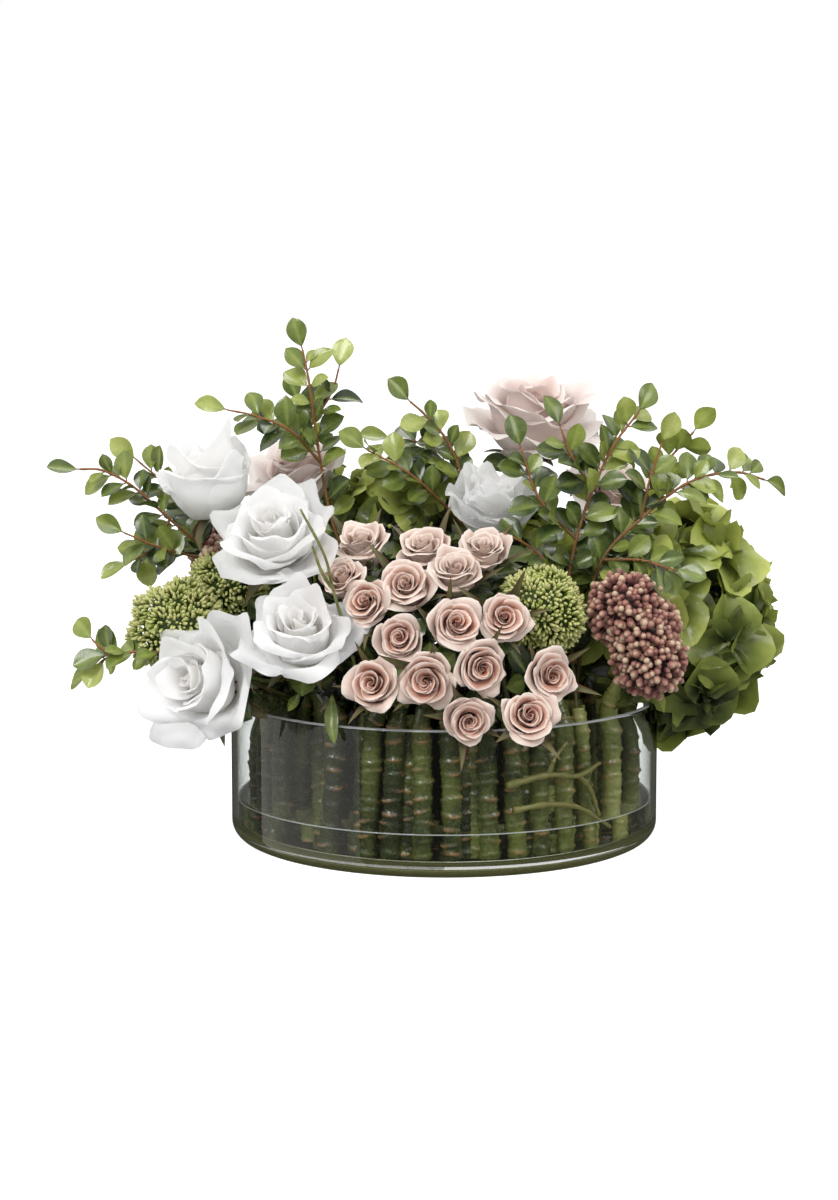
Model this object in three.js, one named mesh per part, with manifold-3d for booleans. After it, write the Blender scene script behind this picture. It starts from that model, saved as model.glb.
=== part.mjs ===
// Floral table centerpiece: roses, spray roses, hydrangeas, sedums and leafy
// branches standing in a low clear bowl, their stems set in clear resin.
// Units are millimetres. +Z is up, -Y is the front, the bowl stands on z = 0.
import * as THREE from 'three';
import { mergeVertices } from 'three/addons/utils/BufferGeometryUtils.js';
import Module from 'manifold-3d';

const wasm = await Module();
wasm.setup();

// ---- Driving dimensions ----------------------------------------------------
const BOWL_RADIUS = 152.4;
const BOWL_HEIGHT = 101.6;
const BOWL_WALL = 4;
const BOWL_BASE = 8.6;
const HEEL_RADIUS = 12;
const RIM_ROUND = 1.2;
const BOWL_SIDES = 36;
const RESIN_TOP = 30;
const GAP = 0.3;
const RESIN_GAP = 0.6;
const CLEARANCE = 0.45;
const TOLERANCE = 0.05;
const FOOT_Z = 12;
const SHOULDER_Z = 107;
const RING = 133;
const STEM_RADIUS = 6.6;
const NECK_RADIUS = 2.6;
const PEDICEL_RADIUS = 1.7;
const TWIG_RADIUS = 1.2;
const TWIG_SIDES = 4;
const STEM_SIDES = 6;
const STEM_LEAN = 0.8;
const PAIR_STEP = 1.7;
const PAIR_TURN = 0.87;
const PEDICEL_SIDES = 5;
const LEAF_LENGTH = 22;
const LEAF_WIDTH = 14;
const LEAF_THICKNESS = 0.9;
const LEAF_SPACING = 13;
const LEAF_TILT = 0.95;
const BACK_Y = 60;
const GOLDEN_ANGLE = Math.PI * (3 - Math.sqrt(5));

// ---- Materials -------------------------------------------------------------
const FINISHES = {
  clear_glass: { color: 0xdfe8e6, roughness: 0.03, metalness: 0, opacity: 0.3 },
  clear_resin: { color: 0xd4dccb, roughness: 0.05, metalness: 0, opacity: 0.4 },
  white_petal: { color: 0xf3f2ef, roughness: 0.75, metalness: 0 },
  blush_petal: { color: 0xe6c0b8, roughness: 0.75, metalness: 0 },
  spray_petal: { color: 0xe3ae9c, roughness: 0.7, metalness: 0 },
  stem_green: { color: 0x41622c, roughness: 0.45, metalness: 0 },
  hydrangea_green: { color: 0x86a53b, roughness: 0.7, metalness: 0 },
  sedum_green: { color: 0x9fb457, roughness: 0.7, metalness: 0 },
  sedum_red: { color: 0x92525a, roughness: 0.6, metalness: 0 },
  leaf_green: { color: 0x5f8a35, roughness: 0.4, metalness: 0 },
  root_green: { color: 0x7b8a4a, roughness: 0.55, metalness: 0 },
};

function finish(slot) {
  const { opacity = 1, ...rest } = FINISHES[slot];
  const material = new THREE.MeshStandardMaterial({ ...rest, opacity, transparent: opacity < 1 });
  material.name = slot;
  return material;
}

// ---- Vectors and solids ----------------------------------------------------
const vec = (x, y, z) => new THREE.Vector3(x, y, z);

function polar(radius, degrees, z) {
  const angle = THREE.MathUtils.degToRad(degrees);
  return vec(radius * Math.cos(angle), radius * Math.sin(angle), z);
}

function toSolid(geometry) {
  const bare = geometry.clone();
  bare.deleteAttribute('normal');
  bare.deleteAttribute('uv');
  const merged = mergeVertices(bare, 1e-3);
  return new wasm.Manifold(new wasm.Mesh({
    numProp: 3,
    vertProperties: new Float32Array(merged.attributes.position.array),
    triVerts: new Uint32Array(merged.index.array),
  }));
}

function toGeometry(solid) {
  const mesh = solid.getMesh();
  const geometry = new THREE.BufferGeometry();
  geometry.setAttribute('position', new THREE.BufferAttribute(mesh.vertProperties, 3));
  geometry.setIndex(new THREE.BufferAttribute(mesh.triVerts, 1));
  geometry.computeVertexNormals();
  return geometry;
}

// Drops slivers and needless vertices from a cut or joined solid.
function cleaned(solid) {
  return toGeometry(toSolid(toGeometry(solid)).simplify(TOLERANCE));
}

function join(geometries) {
  return cleaned(geometries.map(toSolid).reduce((sum, next) => sum.add(next)));
}

// Grows a closed surface: each vertex moves out far enough to clear all its faces.
function grown(geometry, distance) {
  const bare = geometry.clone();
  bare.deleteAttribute('normal');
  bare.deleteAttribute('uv');
  const merged = mergeVertices(bare, 1e-3);
  const position = merged.attributes.position;
  const corners = merged.index.array;
  const outward = Array.from({ length: position.count }, () => vec(0, 0, 0));
  const faces = [];
  for (let i = 0; i < corners.length; i += 3) {
    const ends = [corners[i], corners[i + 1], corners[i + 2]];
    const [a, b, c] = ends.map((end) => vec(0, 0, 0).fromBufferAttribute(position, end));
    const normal = b.sub(a).cross(c.sub(a)).normalize();
    if (normal.lengthSq() > 0) faces.push({ ends, normal });
  }
  faces.forEach(({ ends, normal }) => ends.forEach((end) => outward[end].add(normal)));
  outward.forEach((normal) => normal.normalize());
  const leastFacing = new Float64Array(position.count).fill(1);
  faces.forEach(({ ends, normal }) => ends.forEach((end) => {
    leastFacing[end] = Math.min(leastFacing[end], normal.dot(outward[end]));
  }));
  outward.forEach((normal, i) => {
    const point = vec(0, 0, 0).fromBufferAttribute(position, i);
    point.addScaledVector(normal, distance / Math.max(leastFacing[i], 0.45));
    position.setXYZ(i, point.x, point.y, point.z);
  });
  return merged;
}

function largestBody(solid) {
  const bodies = solid.decompose();
  return bodies.reduce((best, next) => (next.volume() > best.volume() ? next : best));
}

// ---- Bowl and resin --------------------------------------------------------
function arcPoints(centreX, centreZ, radius, fromDegrees, toDegrees, steps) {
  const points = [];
  for (let i = 0; i <= steps; i += 1) {
    const angle = THREE.MathUtils.degToRad(fromDegrees + ((toDegrees - fromDegrees) * i) / steps);
    points.push(new THREE.Vector2(centreX + radius * Math.cos(angle), centreZ + radius * Math.sin(angle)));
  }
  return points;
}

function turned(profile, sides) {
  const geometry = new THREE.LatheGeometry(profile, sides);
  geometry.rotateX(Math.PI / 2);
  return geometry;
}

function bowlGeometry() {
  const innerRadius = BOWL_RADIUS - BOWL_WALL;
  const innerHeel = HEEL_RADIUS - BOWL_WALL;
  return turned([
    new THREE.Vector2(0, 0),
    ...arcPoints(BOWL_RADIUS - HEEL_RADIUS, HEEL_RADIUS, HEEL_RADIUS, -90, 0, 4),
    new THREE.Vector2(BOWL_RADIUS, BOWL_HEIGHT - RIM_ROUND),
    new THREE.Vector2(BOWL_RADIUS - RIM_ROUND, BOWL_HEIGHT),
    new THREE.Vector2(innerRadius + RIM_ROUND, BOWL_HEIGHT),
    new THREE.Vector2(innerRadius, BOWL_HEIGHT - RIM_ROUND),
    ...arcPoints(innerRadius - innerHeel, BOWL_BASE + innerHeel, innerHeel, 0, -90, 3),
    new THREE.Vector2(0, BOWL_BASE),
  ], BOWL_SIDES);
}

function resinGeometry() {
  const radius = BOWL_RADIUS - BOWL_WALL - RESIN_GAP;
  const heel = HEEL_RADIUS - BOWL_WALL;
  const bottom = BOWL_BASE + RESIN_GAP;
  return turned([
    new THREE.Vector2(0, bottom),
    ...arcPoints(radius - heel, bottom + heel, heel, -90, 0, 3),
    new THREE.Vector2(radius, RESIN_TOP),
    new THREE.Vector2(0, RESIN_TOP),
  ], BOWL_SIDES);
}

// ---- Tubes and stems -------------------------------------------------------
function tube(points, radius, sides, steps) {
  const shape = new THREE.Shape();
  for (let i = 0; i < sides; i += 1) {
    const angle = (2 * Math.PI * i) / sides;
    const x = radius * Math.cos(angle);
    const y = radius * Math.sin(angle);
    if (i === 0) shape.moveTo(x, y);
    else shape.lineTo(x, y);
  }
  shape.closePath();
  const path = new THREE.CatmullRomCurve3(points, false, 'centripetal');
  return new THREE.ExtrudeGeometry(shape, { steps, extrudePath: path, bevelEnabled: false });
}

// The thick knobby lower part of a stem, from its foot in the resin up to its shoulder.
function stalk(foot, shoulder, radius) {
  const middle = foot.clone().lerp(shoulder, 0.5);
  const bow = vec(foot.x, foot.y, 0).normalize().multiplyScalar(1.5);
  return tube([foot, middle.add(bow), shoulder], radius, STEM_SIDES, 2);
}

// A thin neck from inside the top of the stalk to a tip, arriving along `heading`.
function neck(shoulder, tip, heading, radius) {
  const start = shoulder.clone().add(vec(0, 0, -6));
  const reach = start.distanceTo(tip);
  const control = tip.clone().addScaledVector(heading, -0.35 * reach);
  const curve = new THREE.QuadraticBezierCurve3(start, control, tip);
  return tube(curve.getPoints(4), radius, PEDICEL_SIDES, 4);
}

// ---- Flower heads ----------------------------------------------------------
// Radius and height of each ring of a head, as fractions of the head's radius,
// from the calyx on the axis round the petals to the middle of the bud.
const ROSE_PROFILE = [
  [0, -0.62], [0.18, -0.58], [0.52, -0.34], [0.88, -0.02], [1, 0.14], [0.86, 0.2],
  [0.68, 0.1], [0.6, 0.36], [0.42, 0.22], [0.34, 0.5], [0.14, 0.42], [0, 0.44],
];
const CUP_PROFILE = [
  [0, -0.72], [0.2, -0.68], [0.6, -0.44], [0.94, -0.08], [1, 0.16], [0.84, 0.3],
  [0.7, 0.16], [0.58, 0.42], [0.42, 0.26], [0.3, 0.46], [0, 0.4],
];
const SPRAY_PROFILE = [
  [0, -0.8], [0.3, -0.72], [0.78, -0.4], [1, 0.05], [0.84, 0.34], [0.6, 0.24], [0.42, 0.5], [0, 0.42],
];

// A turned head whose outer rings swell and lift into `petals` pointed lobes.
function flowerHead(profile, radius, petals, sides) {
  const points = profile.map(([r, z]) => new THREE.Vector2(r * radius, z * radius));
  const geometry = turned(points, sides);
  const position = geometry.attributes.position;
  for (let i = 0; i < position.count; i += 1) {
    const x = position.getX(i);
    const y = position.getY(i);
    const z = position.getZ(i);
    const outer = Math.hypot(x, y) / radius;
    const lobe = Math.cos(petals * Math.atan2(y, x) + 3 * outer) * outer * outer;
    position.setXYZ(i, x * (1 + 0.07 * lobe), y * (1 + 0.07 * lobe), z - 0.07 * radius * lobe);
  }
  return geometry;
}

// A ball of florets: a sphere dimpled between evenly spread lobes.
function floretBall(radius, flatness, lobes, detail) {
  const geometry = new THREE.IcosahedronGeometry(1, detail);
  const position = geometry.attributes.position;
  const centres = [];
  for (let i = 0; i < lobes; i += 1) {
    const height = 1 - (2 * i + 1) / lobes;
    const ring = Math.sqrt(1 - height * height);
    centres.push(vec(ring * Math.cos(i * GOLDEN_ANGLE), ring * Math.sin(i * GOLDEN_ANGLE), height));
  }
  const spread = Math.sqrt(4 / lobes);
  const point = vec(0, 0, 0);
  for (let i = 0; i < position.count; i += 1) {
    point.fromBufferAttribute(position, i).normalize();
    const nearest = Math.min(...centres.map((centre) => centre.distanceTo(point)));
    const reach = radius * (1.04 - 0.16 * Math.min(1, nearest / spread));
    position.setXYZ(i, point.x * reach, point.y * reach, point.z * reach * flatness);
  }
  return geometry;
}

// ---- Leaves ----------------------------------------------------------------
function leaf(length) {
  const half = (0.5 * LEAF_WIDTH * length) / LEAF_LENGTH;
  const shape = new THREE.Shape();
  shape.moveTo(0, 0);
  shape.lineTo(0.6 * length, -half);
  shape.lineTo(0.96 * length, -0.35 * half);
  shape.lineTo(0.96 * length, 0.35 * half);
  shape.lineTo(0.6 * length, half);
  shape.closePath();
  const geometry = new THREE.ExtrudeGeometry(shape, { depth: LEAF_THICKNESS, bevelEnabled: false });
  geometry.translate(0, 0, -0.5 * LEAF_THICKNESS);
  return geometry;
}

// Leaves alternate left and right along a twig, faces turned up and outward, and
// one more sits on its tip. Leaves that would lie inside a flower head are left out.
function leavesAlong(curve, from, crowded) {
  const length = curve.getLength();
  const count = Math.floor((length * (1 - from)) / LEAF_SPACING);
  const leaves = [];
  for (let i = 0; i <= count; i += 1) {
    const atTip = i === count;
    const along = atTip ? 1 : from + (i * LEAF_SPACING) / length;
    const foot = curve.getPointAt(along);
    const tangent = curve.getTangentAt(along);
    const light = vec(foot.x / 400, foot.y > BACK_Y ? 0.7 : -0.7, 0.6).normalize();
    const side = light.clone().cross(tangent).normalize();
    const over = tangent.clone().cross(side);
    const turn = Math.PI * (i % 2) + 0.6 * Math.sin(i * GOLDEN_ANGLE);
    const tilt = atTip ? 0.1 : LEAF_TILT;
    const outward = side.multiplyScalar(Math.cos(turn)).addScaledVector(over, Math.sin(turn));
    const heading = tangent.multiplyScalar(Math.cos(tilt)).addScaledVector(outward, Math.sin(tilt));
    const size = LEAF_LENGTH * (1 - 0.08 * along);
    if (crowded(foot.clone().addScaledVector(heading, 0.6 * size))) continue;
    const across = light.cross(heading).normalize();
    const facing = heading.clone().cross(across);
    const frame = new THREE.Matrix4().makeBasis(heading, across, facing).setPosition(foot);
    leaves.push(leaf(size).applyMatrix4(frame));
  }
  return leaves;
}

// ---- Layout ----------------------------------------------------------------
// Each rose: middle of the head, its radius, the way it faces and where its stem stands.
const WHITE_ROSES = [
  { at: [-165, -122, 129], radius: 40, facing: [-0.6, -0.75, 0.3], ring: [RING, -147] },
  { at: [-97, -132, 164], radius: 39, facing: [-0.05, -0.66, 0.75], ring: [RING, -124] },
  { at: [-116, -86, 225], radius: 42, facing: [-0.1, -0.66, 0.75], ring: [110, -140] },
  { at: [-165, -30, 255], radius: 35, facing: [-0.35, -0.1, 0.93], ring: [112, 176] },
  { at: [32, -15, 233], radius: 35, facing: [0.1, -0.25, 0.96], ring: [RING, -78] },
  { at: [-25, 150, 185], radius: 42, facing: [-0.1, 0.8, 0.6], ring: [RING, 99] },
];
const GARDEN_ROSES = [
  { at: [65, 35, 297], radius: 49, facing: [0.1, -0.25, 0.96], ring: [RING, 86] },
  { at: [-107, 37, 252], radius: 33, facing: [-0.3, -0.3, 0.9], ring: [RING, 158] },
  { at: [125, 50, 240], radius: 33, facing: [0.35, -0.4, 0.85], ring: [RING, 22] },
];

// Spray roses face away from one point inside their cluster, and lean to the front.
const SPRAY_HEART = vec(0, -70, 125);
const SPRAY_LEAN = vec(0, -1.35, 0.35);
const SPRAY_STEMS = [
  { ring: [RING, -112], heads: [[-47, -156, 133, 18], [-52, -119, 181, 16.5], [-69, -98, 194, 16]] },
  { ring: [RING, -105], heads: [[-30, -137, 160, 17], [-56, -73, 215, 19]] },
  { ring: [RING, -97], heads: [[-13, -163, 137, 19], [-26, -115, 191, 18.5], [-14, -84, 213, 18]] },
  { ring: [RING, -89], heads: [[14, -172, 112, 17], [5, -146, 170, 20], [7, -110, 200, 18.5]] },
  { ring: [RING, -70], heads: [[53, -169, 114, 18], [22, -158, 144, 17], [38, -134, 173, 18]] },
  { ring: [RING, -62], heads: [[67, -153, 138, 18.5], [25, -84, 212, 17]] },
];

// Ball heads: middle, radius, flatness, and where the stem stands.
const HYDRANGEAS = [
  { balls: [[154, 6, 153, 82, 1]], ring: [RING, -9] },
  { balls: [[-35, 55, 214, 50, 0.9]], ring: [RING, 124] },
  { balls: [[-117, 96, 160, 59, 0.95]], ring: [RING, 141] },
  { balls: [[72, 118, 163, 60, 0.95]], ring: [RING, 60] },
];
const GREEN_SEDUMS = [
  { balls: [[64, -96, 172, 30, 1]], ring: [RING, -54] },
  { balls: [[-184, -58, 156, 32, 0.95]], ring: [RING, -158] },
  { balls: [[-153, -18, 180, 26, 0.9]], ring: [RING, -170] },
];
const RED_SEDUMS = [
  { balls: [[122, -96, 174, 26, 1], [137, -101, 141, 25, 1]], ring: [RING, -31] },
  { balls: [[-163, 38, 196, 21, 0.95]], ring: [RING, 168] },
];

// Leafy branches: where the stem stands, then the twigs. The first twig leaves the
// shoulder; each later twig starts on a point of an earlier one.
const BRANCHES = [
  {
    ring: [RING, 179],
    twigs: [
      [[-141, 6, 150], [-164, 5, 196], [-195, 0, 226], [-222, -5, 251], [-242, -11, 262], [-256, -16, 263]],
      [[-195, 0, 226], [-208, -12, 205], [-222, -17, 198]],
      [[-164, 5, 196], [-190, 14, 240], [-219, 8, 268]],
      [[-164, 5, 196], [-198, -24, 208], [-223, -36, 220]],
    ],
  },
  {
    ring: [110, -155],
    twigs: [
      [[-142, -72, 124], [-190, -86, 143], [-228, -78, 140], [-244, -69, 128]],
      [[-228, -78, 140], [-238, -76, 147], [-242, -72, 150]],
    ],
  },
  {
    ring: [110, 150],
    twigs: [
      [[-68, 18, 170], [-82, 8, 232], [-88, 6, 266], [-92, 2, 296], [-96, 0, 326], [-100, 0, 346]],
      [[-88, 6, 266], [-109, -10, 290], [-134, -19, 301], [-151, -25, 305]],
      [[-92, 2, 296], [-79, 8, 318], [-75, 10, 332]],
    ],
  },
  {
    ring: [110, 92],
    twigs: [
      [[12, 44, 170], [16, 26, 218], [14, 20, 250], [2, 15, 281], [-14, 10, 300], [-24, 6, 309]],
      [[14, 20, 250], [-14, 24, 277], [-38, 20, 283]],
      [[16, 26, 218], [-24, 2, 258], [-55, -3, 276]],
    ],
  },
  {
    ring: [RING, -46],
    twigs: [
      [[86, -74, 150], [85, -62, 186], [90, -60, 218], [101, -60, 252], [116, -60, 284], [132, -57, 305]],
      [[90, -60, 218], [64, -72, 247], [51, -75, 282]],
      [[101, -60, 252], [85, -68, 278], [78, -70, 296]],
      [[85, -62, 186], [60, -66, 212], [39, -79, 225]],
    ],
  },
  {
    ring: [110, -34],
    twigs: [
      [[97, -58, 160], [108, -60, 204], [134, -60, 232], [169, -50, 257], [204, -31, 262], [224, -20, 256]],
      [[134, -60, 232], [141, -60, 262], [148, -60, 284]],
      [[108, -60, 204], [134, -82, 206], [154, -93, 201]],
    ],
  },
  {
    ring: [RING, 114],
    twigs: [
      [[-66, 134, 160], [-80, 160, 210], [-98, 178, 256], [-112, 186, 300]],
      [[-80, 160, 210], [-106, 180, 232], [-134, 188, 246]],
    ],
  },
  {
    ring: [RING, 40],
    twigs: [
      [[124, 90, 160], [146, 108, 210], [164, 122, 250], [190, 128, 280]],
      [[146, 108, 210], [134, 134, 244], [120, 150, 272]],
    ],
  },
];

// Bare forked twig tips carried by the first spray stem.
const BARE_TWIGS = [
  [[-51, -119, 102], [-62, -108, 150], [-69, -122, 192], [-86, -130, 238]],
  [[-69, -122, 192], [-74, -130, 222], [-79, -134, 246]],
];

// Root-like tendrils that curl along the inside of the bowl wall.
const TENDRIL_RADIUS = 144;
const TENDRILS = [
  { from: [-74, 62], via: [[-62, 67], [-52, 64]], to: [-44, 70], radius: 2 },
  { from: [-72, 45], via: [[-62, 47], [-52, 42]], to: [-40, 24], radius: 1.8 },
  { from: [-52, 64], via: [[-48, 54]], to: [-44, 33.4], radius: 1.6 },
  { from: [-62, 67], via: [[-60, 78]], to: [-56, 88], radius: 1.4 },
];

// ---- Assembly --------------------------------------------------------------
const root = new THREE.Group();
root.name = 'floral_table_centerpiece';

function group(name) {
  const child = new THREE.Group();
  child.name = name;
  root.add(child);
  return child;
}

const vessel = group('vessel');
const stems = group('stems');
const roses = group('roses');
const foliage = group('foliage');
const ballFlowers = group('ball_flowers');
const filling = group('filling');
const crowdedSpheres = [];

function insideHead(point) {
  return crowdedSpheres.some(({ centre, radius }) => centre.distanceTo(point) < radius);
}

function place(parent, name, slot, geometry, position = vec(0, 0, 0), facing = null) {
  const mesh = new THREE.Mesh(geometry, finish(slot));
  mesh.name = name;
  mesh.position.copy(position);
  if (facing) mesh.quaternion.setFromUnitVectors(vec(0, 0, 1), facing);
  parent.add(mesh);
}

// Foot and shoulder of the stalk that stands at a place on the ring, leaning a little.
function standing([radius, degrees], lean = STEM_LEAN * Math.sin(degrees)) {
  return {
    foot: polar(radius, degrees - lean, FOOT_Z),
    shoulder: polar(radius - 2, degrees + lean, SHOULDER_Z),
  };
}

const RINGS = [
  WHITE_ROSES, GARDEN_ROSES, SPRAY_STEMS, GREEN_SEDUMS, RED_SEDUMS, HYDRANGEAS, BRANCHES,
].flatMap((plants) => plants.map(({ ring }) => ring));

// The place for a second stalk pressed against the one at `ring`: a little further in, on
// the side with more room.
function besides(ring, radius) {
  const inwards = PAIR_STEP * radius * Math.cos(PAIR_TURN);
  const sideways = PAIR_STEP * radius * Math.sin(PAIR_TURN);
  const turn = THREE.MathUtils.radToDeg(Math.atan2(sideways, ring[0] - inwards));
  const others = RINGS.filter((other) => other !== ring).map((other) => polar(...other, 0));
  const room = (place) => Math.min(...others.map((other) => other.distanceTo(polar(...place, 0))));
  const [left, right] = [turn, -turn].map((side) => {
    return [Math.hypot(ring[0] - inwards, sideways), ring[1] + side];
  });
  return room(left) > room(right) ? left : right;
}

// Two stalks pressed together. The first carries the flower.
function stalkPair(ring, radius) {
  const lean = STEM_LEAN * Math.sin(ring[1]);
  return [ring, besides(ring, radius)].map((place) => {
    const { foot, shoulder } = standing(place, lean);
    return stalk(foot, shoulder, radius);
  });
}

// The bowl with all the room inside it, which no flower head reaches into.
function bowlEnvelope() {
  const height = BOWL_HEIGHT + CLEARANCE;
  const geometry = new THREE.CylinderGeometry(BOWL_RADIUS + CLEARANCE, BOWL_RADIUS + CLEARANCE, height, 48);
  geometry.rotateX(Math.PI / 2);
  return toSolid(geometry.translate(0, 0, height / 2));
}

const envelope = bowlEnvelope();

function addRoses(names, slot, flowers, profile) {
  flowers.forEach(({ at, radius, facing, ring }, index) => {
    const centre = vec(...at);
    const heading = vec(...facing).normalize();
    const { shoulder } = standing(ring);
    const tip = centre.clone().addScaledVector(heading, profile[0][1] * radius - GAP);
    const stem = join([...stalkPair(ring, STEM_RADIUS), neck(shoulder, tip, heading, NECK_RADIUS)]);
    place(stems, `${names}_stem_${index + 1}`, 'stem_green', stem);
    place(roses, `${names}_${index + 1}`, slot, flowerHead(profile, radius, 5, 10), centre, heading);
    crowdedSpheres.push({ centre, radius: radius + 6 });
  });
}

function addSprayRoses() {
  let number = 0;
  SPRAY_STEMS.forEach(({ ring, heads }, index) => {
    const { shoulder } = standing(ring);
    const pieces = stalkPair(ring, STEM_RADIUS);
    heads.forEach(([x, y, z, radius]) => {
      number += 1;
      const centre = vec(x, y, z);
      const heading = centre.clone().sub(SPRAY_HEART).normalize().add(SPRAY_LEAN).normalize();
      const tip = centre.clone().addScaledVector(heading, SPRAY_PROFILE[0][1] * radius - GAP);
      pieces.push(neck(shoulder, tip, heading, PEDICEL_RADIUS));
      const head = flowerHead(SPRAY_PROFILE, radius, 4, 8);
      place(roses, `spray_rose_${number}`, 'spray_petal', head, centre, heading);
      crowdedSpheres.push({ centre, radius: radius + 5 });
    });
    if (index === 0) {
      BARE_TWIGS.forEach((twig) => {
        pieces.push(tube(twig.map((point) => vec(...point)), TWIG_RADIUS, TWIG_SIDES, 6));
      });
    }
    place(stems, `spray_rose_stem_${index + 1}`, 'stem_green', join(pieces));
  });
}

function addBallFlowers(names, slot, flowers, lobes, detail) {
  flowers.forEach(({ balls, ring }, index) => {
    const { shoulder } = standing(ring);
    const pieces = stalkPair(ring, STEM_RADIUS);
    balls.forEach(([x, y, z, radius, flatness]) => {
      const centre = vec(x, y, z);
      const tip = centre.clone().add(vec(0, 0, -0.5 * radius));
      pieces.push(neck(shoulder, tip, vec(0, 0, 1), NECK_RADIUS));
      const ball = toSolid(floretBall(radius, flatness, lobes, detail).translate(x, y, z));
      pieces.push(toGeometry(ball.subtract(envelope)));
      crowdedSpheres.push({ centre, radius: radius + 2 });
    });
    place(ballFlowers, `${names}_${index + 1}`, slot, join(pieces));
  });
}

function addBranches() {
  BRANCHES.forEach(({ ring, twigs }, index) => {
    const { shoulder } = standing(ring);
    const pieces = stalkPair(ring, 0.75 * STEM_RADIUS);
    twigs.forEach((twig, order) => {
      const points = twig.map((point) => vec(...point));
      if (order === 0) points.unshift(shoulder.clone().add(vec(0, 0, -6)));
      const curve = new THREE.CatmullRomCurve3(points, false, 'centripetal');
      const radius = order === 0 ? 1.2 * TWIG_RADIUS : TWIG_RADIUS;
      pieces.push(tube(points, radius, TWIG_SIDES, points.length + 2));
      pieces.push(...leavesAlong(curve, order === 0 ? 0.45 : 0.25, insideHead));
    });
    place(foliage, `leafy_branch_${index + 1}`, 'leaf_green', join(pieces));
  });
}

function addTendril() {
  const pieces = TENDRILS.map(({ from, via, to, radius }) => {
    const points = [from, ...via, to].map(([degrees, z]) => polar(TENDRIL_RADIUS, degrees, z));
    return tube(points, radius, PEDICEL_SIDES, 5);
  });
  place(stems, 'root_tendril', 'root_green', join(pieces));
}

function worldGeometry(mesh) {
  mesh.updateWorldMatrix(true, false);
  const geometry = mesh.geometry.clone().applyMatrix4(mesh.matrixWorld);
  geometry.computeBoundingBox();
  return geometry;
}

// Cuts each piece back so that it stays clear of all the pieces before it.
function trimInOrder(groups) {
  const tools = [];
  groups.flatMap((part) => part.children).forEach((mesh) => {
    const geometry = worldGeometry(mesh);
    const whole = toSolid(geometry);
    let solid = mesh.parent === roses ? whole.subtract(envelope) : whole;
    tools.filter(({ box }) => box.intersectsBox(geometry.boundingBox)).forEach(({ body }) => {
      solid = solid.subtract(body);
    });
    if (whole.volume() - solid.volume() > 1e-6) {
      const kept = cleaned(largestBody(solid));
      mesh.geometry = kept.applyMatrix4(mesh.matrixWorld.clone().invert());
    }
    const shape = worldGeometry(mesh);
    const fat = grown(shape, CLEARANCE);
    fat.computeBoundingBox();
    tools.push({ box: fat.boundingBox, body: toSolid(fat).add(toSolid(shape)) });
  });
}

place(vessel, 'glass_bowl', 'clear_glass', bowlGeometry());
addRoses('white_rose', 'white_petal', WHITE_ROSES, ROSE_PROFILE);
addRoses('garden_rose', 'blush_petal', GARDEN_ROSES, CUP_PROFILE);
addSprayRoses();
addTendril();
addBallFlowers('green_sedum', 'sedum_green', GREEN_SEDUMS, 14, 2);
addBallFlowers('red_sedum', 'sedum_red', RED_SEDUMS, 12, 2);
addBallFlowers('hydrangea', 'hydrangea_green', HYDRANGEAS, 20, 3);
addBranches();
place(filling, 'resin_water', 'clear_resin', resinGeometry());
trimInOrder([vessel, stems, roses, foliage, ballFlowers, filling]);

export default root;
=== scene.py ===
"""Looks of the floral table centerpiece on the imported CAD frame. Metres, +Z up, -Y front."""
import math
from collections import namedtuple

import bpy
import numpy as np
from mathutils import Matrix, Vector


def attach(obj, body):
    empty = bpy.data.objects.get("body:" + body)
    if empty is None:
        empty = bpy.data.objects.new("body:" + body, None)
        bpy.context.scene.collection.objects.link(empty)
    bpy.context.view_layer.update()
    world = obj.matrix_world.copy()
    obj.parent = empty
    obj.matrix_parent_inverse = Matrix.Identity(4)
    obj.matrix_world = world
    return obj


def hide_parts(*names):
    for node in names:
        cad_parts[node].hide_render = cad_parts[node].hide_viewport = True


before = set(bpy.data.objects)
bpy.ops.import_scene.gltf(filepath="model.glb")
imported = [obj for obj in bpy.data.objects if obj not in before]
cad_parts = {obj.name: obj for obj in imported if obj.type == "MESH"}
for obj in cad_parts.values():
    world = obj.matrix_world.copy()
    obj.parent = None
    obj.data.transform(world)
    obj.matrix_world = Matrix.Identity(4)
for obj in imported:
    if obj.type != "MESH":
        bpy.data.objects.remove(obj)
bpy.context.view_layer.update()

TURN = 2 * math.pi
ANY_TURN = 6.28
GOLDEN = math.pi * (3 - math.sqrt(5))
UP = np.array([0, 0, 1.0])
MM_IN_A_METRE = 1000

# ---- Numbers repeated from the CAD, in metres -------------------------------
BOWL_RADIUS = 0.1524
BOWL_HEIGHT = 0.1016
BOWL_WALL = 0.004
BOWL_BASE = 0.0086
HEEL_RADIUS = 0.012
RESIN_TOP = 0.030
RESIN_GAP = 0.0006
FOOT_Z = 0.012
SHOULDER_Z = 0.107
STEM_RADIUS = 0.0066
TWIG_STEM_RADIUS = 0.75 * STEM_RADIUS
STEM_LEAN = 0.8
PAIR_STEP = 1.7
PAIR_TURN = 0.87
LEAF_LENGTH = 0.0245
LEAF_WIDTH = 0.0155
LEAF_SPACING = 0.0118
LEAF_TILT = 0.95
BACK_Y = 0.06
TENDRIL_RADIUS = 0.144
TIP_CORNERS = 5
HEAD_BREADTH = 1.07
HEAD_GAP = 0.0003
# How far each kind of rose's middle stands above its stem's tip, in head radii.
CALYX_RISE = {"white": 0.62, "garden": 0.72, "spray": 0.8}
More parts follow.
